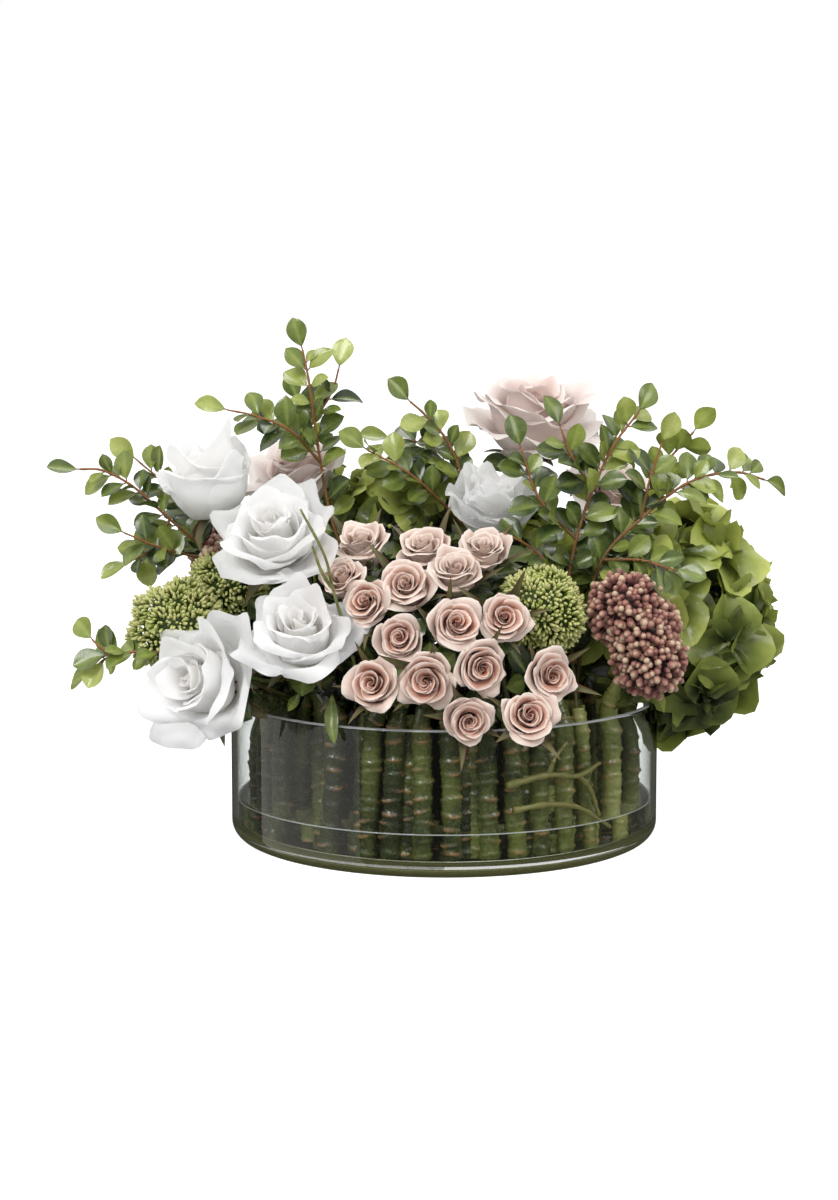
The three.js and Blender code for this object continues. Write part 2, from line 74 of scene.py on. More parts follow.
# Where each stem stands: ring radius in mm, and degrees about Z.
STALK_PLACES = {
    "white_rose_stem": [(133, -147), (133, -124), (110, -140), (112, 176), (133, -78), (133, 99)],
    "garden_rose_stem": [(133, 86), (133, 158), (133, 22)],
    "spray_rose_stem": [(133, -112), (133, -105), (133, -97), (133, -89), (133, -70), (133, -62)],
    "hydrangea": [(133, -9), (133, 124), (133, 141), (133, 60)],
    "green_sedum": [(133, -54), (133, -158), (133, -170)],
    "red_sedum": [(133, -31), (133, 168)],
    "leafy_branch": [(133, 179), (110, -155), (110, 150), (110, 92), (133, -46), (110, -34), (133, 114),
                     (133, 40)],
}
STALKS = {
    f"{kind}_{number}": (radius / MM_IN_A_METRE, degrees)
    for kind, places in STALK_PLACES.items()
    for number, (radius, degrees) in enumerate(places, 1)
}
# Middle and radius of each ball of florets, buds or berries, in mm.
BALL_ROWS = {
    "hydrangea_1": [(154, 6, 153, 82)],
    "hydrangea_2": [(-35, 55, 214, 50)],
    "hydrangea_3": [(-117, 96, 160, 59)],
    "hydrangea_4": [(72, 118, 163, 60)],
    "green_sedum_1": [(64, -96, 172, 30)],
    "green_sedum_2": [(-184, -58, 156, 32)],
    "green_sedum_3": [(-153, -18, 180, 26)],
    "red_sedum_1": [(122, -96, 174, 26), (137, -101, 141, 25)],
    "red_sedum_2": [(-163, 38, 196, 21)],
}
# Lobes of berries between and in front of the red sedums' own, which only the looks have.
LOBE_ROWS = {
    "red_sedum_1": [(133.5, -97.5, 158.5, 24.5)],
    "red_sedum_2": [(-162, 14, 197, 17), (-158, -10, 194, 15)],
}
# Bare forked twig carried by the first spray stem, in mm.
BARE_TWIGS = [
    [(-51, -119, 102), (-64, -112, 150), (-75, -126, 192), (-80, -131, 214), (-96, -134, 246)],
    [(-75, -126, 192), (-82, -134, 204), (-88, -138, 222)],
]
# Control points of each branch's twigs, in mm. The first twig leaves the standing stalk's shoulder.
BRANCHES = [
    [
        [(-141, 6, 150), (-164, 5, 196), (-195, 0, 226), (-222, -5, 251), (-242, -11, 262), (-256, -16, 263)],
        [(-195, 0, 226), (-208, -12, 205), (-222, -17, 198)],
        [(-164, 5, 196), (-190, 14, 240), (-219, 8, 268)],
        [(-164, 5, 196), (-198, -24, 208), (-223, -36, 220)],
    ],
    [
        [(-142, -72, 124), (-190, -86, 143), (-228, -78, 140), (-244, -69, 128)],
        [(-228, -78, 140), (-238, -76, 147), (-242, -72, 150)],
    ],
    [
        [(-68, 18, 170), (-82, 8, 232), (-88, 6, 266), (-92, 2, 296), (-96, 0, 326), (-100, 0, 346)],
        [(-88, 6, 266), (-109, -10, 290), (-134, -19, 301), (-151, -25, 305)],
        [(-92, 2, 296), (-79, 8, 318), (-75, 10, 332)],
    ],
    [
        [(12, 44, 170), (16, 26, 218), (14, 20, 250), (2, 15, 281), (-14, 10, 300), (-24, 6, 309)],
        [(14, 20, 250), (-14, 24, 277), (-38, 20, 283)],
        [(16, 26, 218), (-24, 2, 258), (-55, -3, 276)],
    ],
    [
        [(86, -74, 150), (85, -62, 186), (90, -60, 218), (101, -60, 252), (116, -60, 284), (132, -57, 305)],
        [(90, -60, 218), (64, -72, 247), (51, -75, 282)],
        [(101, -60, 252), (85, -68, 278), (78, -70, 296)],
        [(85, -62, 186), (60, -66, 212), (39, -79, 225)],
    ],
    [
        [(97, -58, 160), (108, -60, 204), (134, -60, 232), (169, -50, 257), (204, -31, 262), (224, -20, 256)],
        [(134, -60, 232), (141, -60, 262), (148, -60, 284)],
        [(108, -60, 204), (134, -82, 206), (154, -93, 201)],
    ],
    [
        [(-66, 134, 160), (-80, 160, 210), (-98, 178, 256), (-112, 186, 300)],
        [(-80, 160, 210), (-106, 180, 232), (-134, 188, 246)],
    ],
    [
        [(124, 90, 160), (146, 108, 210), (164, 122, 250), (190, 128, 280)],
        [(146, 108, 210), (134, 134, 244), (120, 150, 272)],
    ],
]
# The root's strands against the glass: degrees about Z with height, and the strand's radius.
TENDRILS = [
    ([(-74, 0.062), (-62, 0.067), (-52, 0.064), (-44, 0.070)], 0.0020),
    ([(-72, 0.045), (-62, 0.047), (-52, 0.042), (-40, 0.024)], 0.0018),
    ([(-52, 0.064), (-48, 0.054), (-44, 0.0334)], 0.0016),
    ([(-62, 0.067), (-60, 0.078), (-56, 0.088)], 0.0014),
]

# ---- Numbers that only the looks have ---------------------------------------
NECK_DROP = 0.006
RIM_CLEARANCE = 0.0048
GLASS_CLEARANCE = 0.0014
STALK_STEP = 0.00115
STALK_END = 0.0026
SPRAY_END = 0.0019
THICKET_COUNT = 260
THICKET_RADIUS = 0.112
THICKET_HOLLOW = 0.04
THICKET_GAP = 2.1 * STEM_RADIUS
SPRAY_RISE = (0.165, 0.205)
FLORET_KINDS = 6
FLORET_SIZE = 0.0235
BIG_FLORET_GAIN = 0.0095
CLUMPS = 44
BUD_AREA = 0.0000064
BERRY_AREA = 0.000023
LEAVES_UNDER_ROSE = 7
FILL_COUNT = 520
FILL_MIDDLE = np.array([-0.005, -0.008, 0.136])
FILL_REACH = np.array([0.124, 0.112, 0.058])
FILL_EDGE = 0.138
LATHE_SIDES = 160
# How far each rose's petals bend, and its growth over the CAD solid, where these aren't 1.
HEAD_SHAPES = {
    "white_rose_1": (1.0, 1.1),
    "white_rose_4": (1.12, 1.22),
    "white_rose_5": (0.62, 1.14),
    "garden_rose_1": (0.9, 1.0),
    "garden_rose_2": (0.7, 1.2),
}


# ---- Small maths ------------------------------------------------------------
def unit(v):
    v = np.asarray(v, float)
    return v / np.linalg.norm(v, axis=-1, keepdims=True)


def smooth(x, low, high):
    k = np.clip((x - low) / (high - low), 0, 1)
    return k * k * (3 - 2 * k)


def hump(x, width):
    return np.exp(-(x / width) ** 2)


def grid(rows, cols):
    """0 to 1 down a column, and -1 to 1 along a row."""
    return np.linspace(0, 1, rows)[:, None], np.linspace(-1, 1, cols)[None, :]


def around(sides):
    return np.arange(sides) / sides * TURN


def frame_on(axis, roll=0.0):
    """Columns x, y, z of a frame whose z is `axis`."""
    z = unit(axis)
    hint = UP if abs(z[2]) < 0.95 else np.array([1.0, 0, 0])
    x = unit(np.cross(hint, z))
    y = np.cross(z, x)
    c, s = math.cos(roll), math.sin(roll)
    return np.stack([x * c + y * s, y * c - x * s, z], axis=1)


def frames_on(axes, rng):
    """A frame on each axis, rolled at random."""
    rolls = rng.uniform(0, ANY_TURN, len(axes))
    return np.stack([frame_on(a, r) for a, r in zip(axes, rolls)])


def turned(x, y, z, angle):
    """The points (x, y, z), turned about Z."""
    c, s = math.cos(angle), math.sin(angle)
    return np.stack(np.broadcast_arrays(x * c - y * s, x * s + y * c, z), -1)


def polar(radius, degrees, z):
    angle = math.radians(degrees)
    return np.array([radius * math.cos(angle), radius * math.sin(angle), z])


def ring_of(radius, angles, z):
    return np.stack(np.broadcast_arrays(radius * np.cos(angles), radius * np.sin(angles), z), -1)


def from_centre(points):
    """Distance of each point from the Z axis."""
    return np.hypot(points[..., 0], points[..., 1])


def spread(count, rng, shake):
    """Directions spread evenly over a sphere, then shaken a little."""
    i = np.arange(count) + 0.5
    z = 1 - 2 * i / count
    points = ring_of(np.sqrt(1 - z * z), i * GOLDEN, z)
    return unit(points + rng.normal(0, shake, points.shape))


def spheres(rows):
    return [(np.array(row[:3]) / MM_IN_A_METRE, row[3] / MM_IN_A_METRE) for row in rows]


def between(t, low, high, a, b):
    return (high - t) / (high - low) * a + (t - low) / (high - low) * b


def curve_points(points, count):
    """Evenly spread points on a centripetal Catmull-Rom curve, as three.js draws it."""
    p = np.asarray(points, float)
    p = np.vstack([2 * p[0] - p[1], p, 2 * p[-1] - p[-2]])
    dense = []
    for i in range(1, len(p) - 2):
        knots = [0.0]
        for a in range(i - 1, i + 2):
            knots.append(knots[-1] + max(np.linalg.norm(p[a + 1] - p[a]) ** 0.5, 1e-6))
        t0, t1, t2, t3 = knots
        t = np.linspace(t1, t2, 24, endpoint=False)[:, None]
        a1 = between(t, t0, t1, p[i - 1], p[i])
        a2 = between(t, t1, t2, p[i], p[i + 1])
        a3 = between(t, t2, t3, p[i + 1], p[i + 2])
        dense.extend(between(t, t1, t2, between(t, t0, t2, a1, a2), between(t, t1, t3, a2, a3)))
    dense = np.array(dense + [p[-2]])
    gone = np.concatenate([[0], np.cumsum(np.linalg.norm(np.diff(dense, axis=0), axis=1))])
    at = np.linspace(0, gone[-1], count)
    return np.stack([np.interp(at, gone, dense[:, k]) for k in range(3)], axis=1)


def line_length(points):
    return float(np.linalg.norm(np.diff(points, axis=0), axis=1).sum())


def bent_line(steps, degrees, length):
    """How far out and up a line gets, where it leaves the vertical by so many degrees at each step."""
    bend = np.radians(degrees)[:-1]
    step = steps[1] * length
    out = np.concatenate([[0], np.cumsum(np.sin(bend) * step)])
    up = np.concatenate([[0], np.cumsum(np.cos(bend) * step)])
    return out, up


def clear_of(points, obstacles, margin=0.0):
    """True where a point is outside every sphere."""
    keep = np.ones(len(points), bool)
    for centre, radius in obstacles:
        keep &= np.linalg.norm(points - centre, axis=1) > radius + margin
    return keep


def rng_for(name, more=0):
    """Random numbers that belong to one node."""
    return np.random.default_rng(sum(ord(c) * (i + 7) for i, c in enumerate(name)) + more)


# ---- Meshes -----------------------------------------------------------------
def grid_quads(rows, cols, closed=False):
    across = cols if closed else cols - 1
    r, c = np.meshgrid(np.arange(rows - 1), np.arange(across), indexing="ij")
    a = (r * cols + c).ravel()
    b = (r * cols + (c + 1) % cols).ravel()
    return np.stack([a, b, b + cols, a + cols], axis=1)


class Surface:
    """Collects the patches of one piece, and the values that its material reads."""

    def __init__(self):
        self.verts, self.quads, self.tris, self.values = [], [], [], {}
        self.count = 0

    def add(self, verts, quads=(), tris=(), **values):
        verts = np.asarray(verts, float).reshape(-1, 3)
        self.verts.append(verts)
        self.quads.append(np.array(quads, int).reshape(-1, 4) + self.count)
        self.tris.append(np.array(tris, int).reshape(-1, 3) + self.count)
        for name, value in values.items():
            self.values.setdefault(name, []).append((self.count, np.broadcast_to(value, (len(verts),))))
        self.count += len(verts)

    def add_sheet(self, points, **values):
        """One open patch of rows and columns of points."""
        rows, cols = points.shape[:2]
        values = {name: np.broadcast_to(value, (rows, cols)).ravel() for name, value in values.items()}
        self.add(points, grid_quads(rows, cols), **values)

    def add_copies(self, shape, places, frames, sizes, settle=None, **values):
        """Copies of a small surface. Its own values are added to `values`, a number for each copy."""
        verts, quads, tris, own = shape.joined()
        n, m = len(places), len(verts)
        sizes = np.broadcast_to(sizes, (n,))[:, None, None]
        copies = np.einsum("nij,mj->nmi", frames, verts) * sizes + places[:, None, :]
        if settle:
            copies = settle(copies, places)
        totals = {}
        for name in {**own, **values}:
            each = np.broadcast_to(values.get(name, 0.0), (n,))[:, None]
            totals[name] = np.broadcast_to(each + own.get(name, 0.0), (n, m)).ravel()
        shift = (np.arange(n) * m)[:, None, None]
        self.add(copies, quads + shift, tris + shift, **totals)

    def joined(self):
        """All the vertices, quads and triangles, and the values by name."""
        values = {}
        for name, runs in self.values.items():
            values[name] = np.zeros(self.count)
            for start, run in runs:
                values[name][start:start + len(run)] = run
        return np.concatenate(self.verts), np.concatenate(self.quads), np.concatenate(self.tris), values

    def build(self, name, materials):
        verts, quads, tris, values = self.joined()
        mesh = bpy.data.meshes.new(name)
        mesh.from_pydata(verts, [], quads.tolist() + tris.tolist())
        mesh.validate()
        mesh.shade_smooth()
        for key, data in values.items():
            attribute = mesh.attributes.new(key, "FLOAT", "POINT")
            attribute.data.foreach_set("value", data.astype(np.float32))
        for material in materials:
            mesh.materials.append(material)
        piece = bpy.data.objects.new(name, mesh)
        bpy.context.scene.collection.objects.link(piece)
        return piece


def finished(surface, name, materials, replaced=None):
    piece = surface.build(name, materials)
    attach(piece, "root")
    if replaced:
        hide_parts(replaced)
    return piece


def tube(path, radii, sides):
    """Rings of vertices along a path."""
    radii = np.broadcast_to(radii, (len(path),))
    tangents = unit(np.gradient(path, axis=0))
    x = frame_on(tangents[0])[:, 0]
    angle = around(sides)[:, None]
    rings = []
    for place, radius, tangent in zip(path, radii, tangents):
        x = unit(x - tangent * (x @ tangent))
        y = np.cross(tangent, x)
        rings.append(place + radius * (np.cos(angle) * x + np.sin(angle) * y))
    return np.concatenate(rings)


def fan(ring_start, sides, centre_index, flip=False):
    a = ring_start + np.arange(sides)
    b = ring_start + (np.arange(sides) + 1) % sides
    c = np.full(sides, centre_index)
    return np.stack([a, b, c] if flip else [b, a, c], axis=1)


def capped(rings, sides, start, end):
    """Rings closed into a tube whose ends are fans round two more vertices."""
    n = len(rings)
    tris = np.vstack([fan(0, sides, n), fan(n - sides, sides, n + 1, flip=True)])
    return np.vstack([rings, start, end]), grid_quads(n // sides, sides, closed=True), tris


def add_tube(surface, path, radii, sides, **values):
    path = np.asarray(path, float)
    surface.add(*capped(tube(path, radii, sides), sides, path[0], path[-1]), **values)


def add_thread(surface, path, sides, **values):
    """A fine tube with open ends, for a leaf's or a berry's own stalk."""
    rings = tube(np.asarray(path, float), 0.0005, sides)
    surface.add(rings, grid_quads(len(path), sides, closed=True), **values)


def globe(rows, cols):
    """A unit ball of quads, with fans at its poles."""
    slope = np.linspace(0, math.pi, rows)[1:-1][:, None]
    rings = ring_of(np.sin(slope), around(cols), np.cos(slope)).reshape(-1, 3)
    n = len(rings)
    quads = grid_quads(rows - 2, cols, closed=True)[:, ::-1]
    tris = np.vstack([fan(0, cols, n, flip=True), fan(n - cols, cols, n + 1)])
    return np.vstack([rings, UP, -UP]), quads, tris


# ---- Reading the CAD frame --------------------------------------------------
def cad_points(node):
    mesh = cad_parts[node].data
    points = np.empty(3 * len(mesh.vertices))
    mesh.vertices.foreach_get("co", points)
    return np.unique(points.reshape(-1, 3).round(6), axis=0)


def solid_middle(node):
    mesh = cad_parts[node].data
    mesh.calc_loop_triangles()
    corners = np.array([[mesh.vertices[i].co for i in t.vertices] for t in mesh.loop_triangles])
    volume = np.einsum("ij,ij->i", corners[:, 0], np.cross(corners[:, 1], corners[:, 2]))
    return (corners.mean(1) * 0.75 * volume[:, None]).sum(0) / volume.sum()


def nodes_named(start):
    names = [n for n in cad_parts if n.startswith(start) and n[len(start):].isdigit()]
    return sorted(names, key=lambda n: int(n[len(start):]))


def stalk_pair(node, thickness):
    """Feet and shoulders of a stem's two stalks. The first carries the flower."""
    radius, degrees = STALKS[node]
    lean = STEM_LEAN * math.sin(degrees)
    inwards = radius - PAIR_STEP * thickness * math.cos(PAIR_TURN)
    sideways = PAIR_STEP * thickness * math.sin(PAIR_TURN)
    turn = math.degrees(math.atan2(sideways, inwards))
    others = [polar(*place, 0) for name, place in STALKS.items() if name != node]
    sides = [(math.hypot(inwards, sideways), degrees + k * turn) for k in (-1, 1)]
    roomy = max(sides, key=lambda place: min(np.linalg.norm(polar(*place, 0) - o) for o in others))
    return [(polar(r, a - lean, FOOT_Z), polar(r - 0.002, a + lean, SHOULDER_Z))
            for r, a in ((radius, degrees), roomy)]


# ---- Materials --------------------------------------------------------------
def linear(colour):
    """sRGB 0..255 to linear 0..1."""
    c = np.array(colour, float) / 255
    return tuple(np.where(c <= 0.04045, c / 12.92, ((c + 0.055) / 1.055) ** 2.4))


class Nodes:
    """Shorthand for wiring one material or world."""

    def __init__(self, name, kind=bpy.data.materials):
        self.owner = kind.new(name)
        self.owner.use_nodes = True
        self.tree = self.owner.node_tree
        self.shader = self.tree.nodes.get("Principled BSDF")
        self.end = next(n for n in self.tree.nodes if n.type.startswith("OUTPUT"))

    def node(self, kind, **settings):
        made = self.tree.nodes.new(kind)
        for key, value in settings.items():
            if key in made.inputs:
                made.inputs[key].default_value = value
            else:
                setattr(made, key, value)
        return made

    def feed(self, socket, source):
        """Sets a socket to a number or an sRGB colour, or links another socket to it."""
        if isinstance(source, (int, float)):
            socket.default_value = source
        elif isinstance(source, tuple):
            socket.default_value = (*linear(source), 1)
        else:
            self.tree.links.new(source, socket)

    def value(self, name):
        return self.node("ShaderNodeAttribute", attribute_name=name).outputs["Fac"]

    def noise(self, scale, detail=3.0):
        noise = self.node("ShaderNodeTexNoise", Scale=scale, Detail=detail, Roughness=0.55)
        self.feed(noise.inputs["Vector"], self.node("ShaderNodeTexCoord").outputs["Object"])
        return noise.outputs["Fac"]

    def math(self, operation, a, b, clamp=False):
        made = self.node("ShaderNodeMath", operation=operation, use_clamp=clamp)
        self.feed(made.inputs[0], a)
        self.feed(made.inputs[1], b)
        return made.outputs["Value"]

    def times(self, a, b):
        return self.math("MULTIPLY", a, b)

    def swing(self, noise, width):
        """A noise moved to swing about nought."""
        return self.times(self.math("SUBTRACT", noise, 0.5), width)

    def ramp(self, fac, stops):
        made = self.node("ShaderNodeValToRGB")
        ramp = made.color_ramp
        while len(ramp.elements) < len(stops):
            ramp.elements.new(0.5)
        for element, (position, colour) in zip(ramp.elements, stops):
            element.position = position
            element.color = (*linear(colour), 1)
        self.feed(made.inputs["Fac"], fac)
        return made.outputs["Color"]

    def mix(self, fac, a, b, blend="MIX"):
        made = self.node("ShaderNodeMix", data_type="RGBA", blend_type=blend)
        for number, source in ((0, fac), (6, a), (7, b)):
            self.feed(made.inputs[number], source)
        return made.outputs[2]

    def fade(self, fac, first, second):
        """The shader `first`, giving way to `second` as `fac` rises to 1."""
        made = self.node("ShaderNodeMixShader")
        for socket, source in zip(made.inputs, (fac, first, second)):
            self.feed(socket, source)
        return made.outputs[0]

    def show(self, shader):
        self.feed(self.end.inputs["Surface"], shader)

    def bump(self, height, strength, distance):
        made = self.node("ShaderNodeBump", Strength=strength, Distance=distance)
        self.feed(made.inputs["Height"], height)
        self.feed(self.shader.inputs["Normal"], made.outputs["Normal"])

    def set(self, **values):
        for key, value in values.items():
            self.shader.inputs[key.replace("_", " ")].default_value = value

    def colour(self, socket, glow=0.0):
        """Base colour, with a share of the light let through from behind."""
        self.feed(self.shader.inputs["Base Color"], socket)
        if glow:
            thin = self.node("ShaderNodeBsdfTranslucent")
            self.feed(thin.inputs["Color"], socket)
            self.show(self.fade(glow, self.shader.outputs[0], thin.outputs[0]))


def petal_veins(m):
    """Fine lines that run down a petal."""
    combine = m.node("ShaderNodeCombineXYZ")
    m.feed(combine.inputs["X"], m.value("across"))
    m.feed(combine.inputs["Z"], m.value("along"))
    scaled = m.node("ShaderNodeVectorMath", operation="MULTIPLY")
    scaled.inputs[1].default_value = (0.12, 0.0, 0.02)
    m.feed(scaled.inputs[0], combine.outputs["Vector"])
    veins = m.node("ShaderNodeTexWave", Scale=34.0, Distortion=2.5, Detail=2.0)
    m.feed(veins.inputs["Vector"], scaled.outputs["Vector"])
    return veins.outputs["Fac"]


def petal_material(name, inside, outside, blotches, rough, edge, shade, heart, glow, outer=0.5, creases=0.0):
    """Petal cloth: colour runs from the foot to the lip, apart for the two faces."""
    m = Nodes(name)
    along = m.math("ADD", m.value("along"), m.swing(m.noise(140), 0.25))
    faces = m.node("ShaderNodeNewGeometry").outputs["Backfacing"]
    # The inside ramps run darkest at the petal's foot: partly the heart's own deeper colour, partly painted
    # shade in the folds between petals.
    body = m.mix(faces, m.ramp(along, outside), m.ramp(along, inside))
    blotch = m.ramp(m.noise(blotches), [(0.35, (255, 255, 255)), (0.7, shade)])
    body = m.mix(0.6, body, blotch, "MULTIPLY")
    heart_colour, heart_share = heart
    inmost = m.math("SUBTRACT", 1.0, m.value("depth"))
    body = m.mix(m.times(inmost, heart_share), body, heart_colour, "MULTIPLY")
    outmost = m.math("POWER", m.value("depth"), 3.0)
    body = m.mix(m.times(outmost, outer), body, edge)
    # Painted highlight: the edge colour laid along each rim is partly the rim's own paler colour and partly
    # the light its rolled lip catches.
    m.colour(m.mix(m.times(m.value("lip"), 0.95), body, edge), glow)
    m.set(Roughness=rough, Sheen_Weight=0.2, Sheen_Roughness=0.4, Specular_IOR_Level=0.3)
    height = m.math("ADD", m.times(petal_veins(m), 0.35), m.noise(260, 4))
    if creases:
        height = m.math("ADD", height, m.times(m.noise(70, 3), creases))
    m.bump(height, 0.25, 0.0006)
    return m.owner


def plant_material(name, stops, scale, rough, extra=None, coat=0.0, bump=0.4, distance=0.0006, sheen=0.0,
                   glow=0.0, wet=0.12):
    """Green and berry colours driven by the piece's own `tone`, mottled by noise. `extra` names one
    more value of the piece, with its colour and strength."""
    m = Nodes(name)
    body = m.ramp(m.math("ADD", m.value("tone"), m.swing(m.noise(scale), 0.5)), stops)
    if extra:
        attribute, colour, strength = extra
        body = m.mix(m.math("MULTIPLY", m.value(attribute), strength, clamp=True), body, colour)
    m.colour(body, glow)
    m.feed(m.shader.inputs["Roughness"], m.math("ADD", m.swing(m.noise(scale * 2), 0.3), rough))
    m.set(Coat_Weight=coat, Coat_Roughness=wet, Sheen_Weight=sheen)
    m.bump(m.noise(scale * 5, 4), bump, distance)
    return m.owner


WHITE_PETAL = petal_material(
    "white_petal",
    [(0.0, (238, 234, 222)), (0.35, (250, 248, 245)), (0.75, (253, 253, 254))],
    [(0.0, (214, 224, 186)), (0.24, (248, 249, 246)), (0.7, (252, 253, 254))],
    25, 0.55, edge=(254, 254, 254), shade=(251, 250, 248), heart=((255, 252, 247), 0.6), glow=0.58,
    creases=16.0)
# The garden rose's deeper pink at the foot is partly its own colour and partly painted shade in its folds.
BLUSH_PETAL = petal_material(
    "blush_petal",
    [(0.0, (200, 144, 124)), (0.45, (232, 211, 203)), (0.95, (242, 233, 229))],
    [(0.0, (214, 208, 178)), (0.3, (230, 212, 208)), (0.9, (238, 230, 228))],
    30, 0.55, edge=(246, 239, 234), shade=(238, 230, 226), heart=((250, 230, 222), 0.8), glow=0.22)
# The spray's inside runs from dark red-brown at the foot to cream at the lip: its own salmon, deepened with
# painted shade in the folds and lifted with a painted highlight at the rims.
SPRAY_PETAL = petal_material(
    "spray_petal",
    [(0.0, (100, 38, 26)), (0.6, (146, 76, 58)), (0.8, (186, 124, 102)), (0.92, (214, 177, 158)),
     (1.0, (238, 221, 210))],
    [(0.0, (190, 192, 130)), (0.3, (224, 204, 182)), (0.7, (234, 212, 202)), (0.95, (242, 226, 218))],
    45, 0.5, edge=(242, 229, 218), shade=(230, 212, 202), heart=((240, 188, 162), 0.9), glow=0.1, outer=0.55)
SEPAL = plant_material(
    "sepal", [(0.0, (34, 42, 22)), (0.5, (72, 82, 40)), (1.0, (116, 116, 62))],
    180, 0.5, ("lip", (98, 48, 38), 1.3), sheen=0.2, glow=0.15)
STALK = plant_material(
    "stalk_bark", [(0.0, (12, 16, 8)), (0.35, (46, 54, 24)), (0.7, (106, 114, 54)), (1.0, (164, 166, 98))],
    120, 0.26, ("scar", (172, 128, 84), 0.85), coat=1.0, bump=0.8, distance=0.0014, wet=0.07)
TWIG = plant_material(
    "twig_bark", [(0.0, (70, 80, 38)), (0.4, (118, 88, 48)), (1.0, (150, 98, 54))], 260, 0.5, bump=0.6)
LEAF = plant_material(
    "leaf_skin", [(0.0, (14, 26, 14)), (0.3, (62, 80, 38)), (0.6, (114, 130, 58)), (0.85, (150, 162, 76)),
                  (1.0, (178, 186, 106))],
    90, 0.28, ("rib", (176, 190, 104), 0.4), coat=0.5, glow=0.15)
HYDRANGEA = plant_material(
    "hydrangea_petal",
    [(0.0, (28, 36, 18)), (0.3, (76, 90, 42)), (0.6, (134, 146, 66)), (1.0, (194, 202, 104))],
    60, 0.36, ("rib", (176, 194, 88), 0.25), coat=0.3, glow=0.15)
SEDUM_GREEN = plant_material(
    "sedum_bud", [(0.0, (58, 78, 24)), (0.45, (122, 142, 52)), (0.8, (180, 190, 98)), (1.0, (216, 216, 148))],
    320, 0.5, bump=0.3, glow=0.15)
SEDUM_RED = plant_material(
    "sedum_berry",
    [(0.0, (60, 28, 26)), (0.4, (136, 82, 74)), (0.8, (178, 130, 112)), (1.0, (206, 184, 154))],
    300, 0.42, bump=0.35, sheen=0.2)
ROOT = plant_material(
    "root_skin", [(0.0, (70, 76, 34)), (0.5, (126, 122, 62)), (1.0, (166, 152, 96))],
    220, 0.34, coat=0.6, bump=0.8)

# ---- Petals -----------------------------------------------------------------
# One ring of petals, in head radii: foot, length and half width, the bend in degrees at even steps
# from foot to lip, and how far the petals spiral, roll back, ruffle, narrow, point and crumple.
Layer = namedtuple("Layer", "count radius height length half_width bends spiral roll wave pinch tip crumple")
WHITE_LAYERS = [
    Layer(2, 0.03, -0.34, 0.72, 0.27, (6, 2, -4, -6, 4), 0.1, 0, 0.015, 0, 0.07, 0),
    Layer(3, 0.06, -0.4, 0.9, 0.44, (24, 8, -8, -4, 24), 0.1, 0, 0.03, 0, 0.07, 0),
    Layer(3, 0.08, -0.48, 1.1, 0.7, (46, 18, -6, -4, 40), 0.07, 0.03, 0.05, 0.1, 0.1, 0),
    Layer(4, 0.1, -0.53, 1.24, 0.92, (62, 36, 6, 0, 66), 0.06, 0.09, 0.06, 0.2, 0.17, 0.3),
    Layer(3, 0.1, -0.55, 1.26, 1.04, (74, 50, 20, 20, 96), 0.04, 0.13, 0.07, 0.28, 0.2, 0.4),
    Layer(4, 0.1, -0.56, 1.22, 1.08, (86, 64, 38, 48, 120), 0, 0.16, 0.08, 0.32, 0.22, 0.4),
]
# A tall bud whose outer petals stand and curl back only at their tips.
BUD_LAYERS = [
    Layer(3, 0.08, -0.45, 1.15, 0.62, (40, 14, -6, -10, 4), 0.08, 0, 0.04, 0, 0.07, 0.3),
    Layer(3, 0.1, -0.53, 1.34, 0.95, (66, 34, 2, -8, 30), 0.06, 0.12, 0.07, 0.2, 0.22, 0.5),
    Layer(4, 0.1, -0.56, 1.28, 1.1, (84, 46, 12, 4, 60), 0, 0.17, 0.08, 0.3, 0.24, 0.5),
]
SPRAY_LAYERS = [
    Layer(2, 0.03, -0.4, 0.78, 0.26, (4, 0, -4, -4, 6), 0.1, 0, 0, 0, 0.07, 0),
    Layer(3, 0.09, -0.48, 0.9, 0.46, (22, 4, -10, -2, 36), 0.11, 0, 0.015, 0, 0.07, 0),
    Layer(3, 0.12, -0.56, 1.06, 0.7, (46, 12, -10, 0, 56), 0.1, 0, 0.025, 0, 0.06, 0),
    Layer(4, 0.15, -0.62, 1.18, 0.9, (66, 24, -4, 8, 84), 0.08, 0.05, 0.04, 0.1, 0.07, 0),
    Layer(3, 0.16, -0.66, 1.2, 1.04, (74, 32, 0, 14, 104), 0.06, 0.06, 0.07, 0.14, 0.1, 0),
    Layer(3, 0.16, -0.68, 1.18, 1.08, (84, 42, 12, 32, 122), 0, 0.08, 0.09, 0.2, 0.15, 0),
]
GARDEN_LAYERS = [
    Layer(3, 0.05, -0.3, 0.78, 0.42, (18, 4, -8, -2, 40), 0.08, 0, 0.05, 0, 0.07, 0),
    Layer(4, 0.08, -0.42, 1.0, 0.66, (42, 12, -8, 4, 66), 0.07, 0.03, 0.06, 0, 0.07, 0),
    Layer(4, 0.1, -0.52, 1.18, 0.86, (62, 22, -2, 14, 86), 0.05, 0.05, 0.07, 0, 0.1, 0),
    Layer(5, 0.12, -0.6, 1.3, 0.98, (80, 38, 14, 34, 98), 0, 0.05, 0.08, 0.12, 0.12, 0),
    Layer(5, 0.12, -0.64, 1.26, 1.0, (94, 60, 38, 60, 112), 0, 0.06, 0.085, 0.18, 0.13, 0),
]


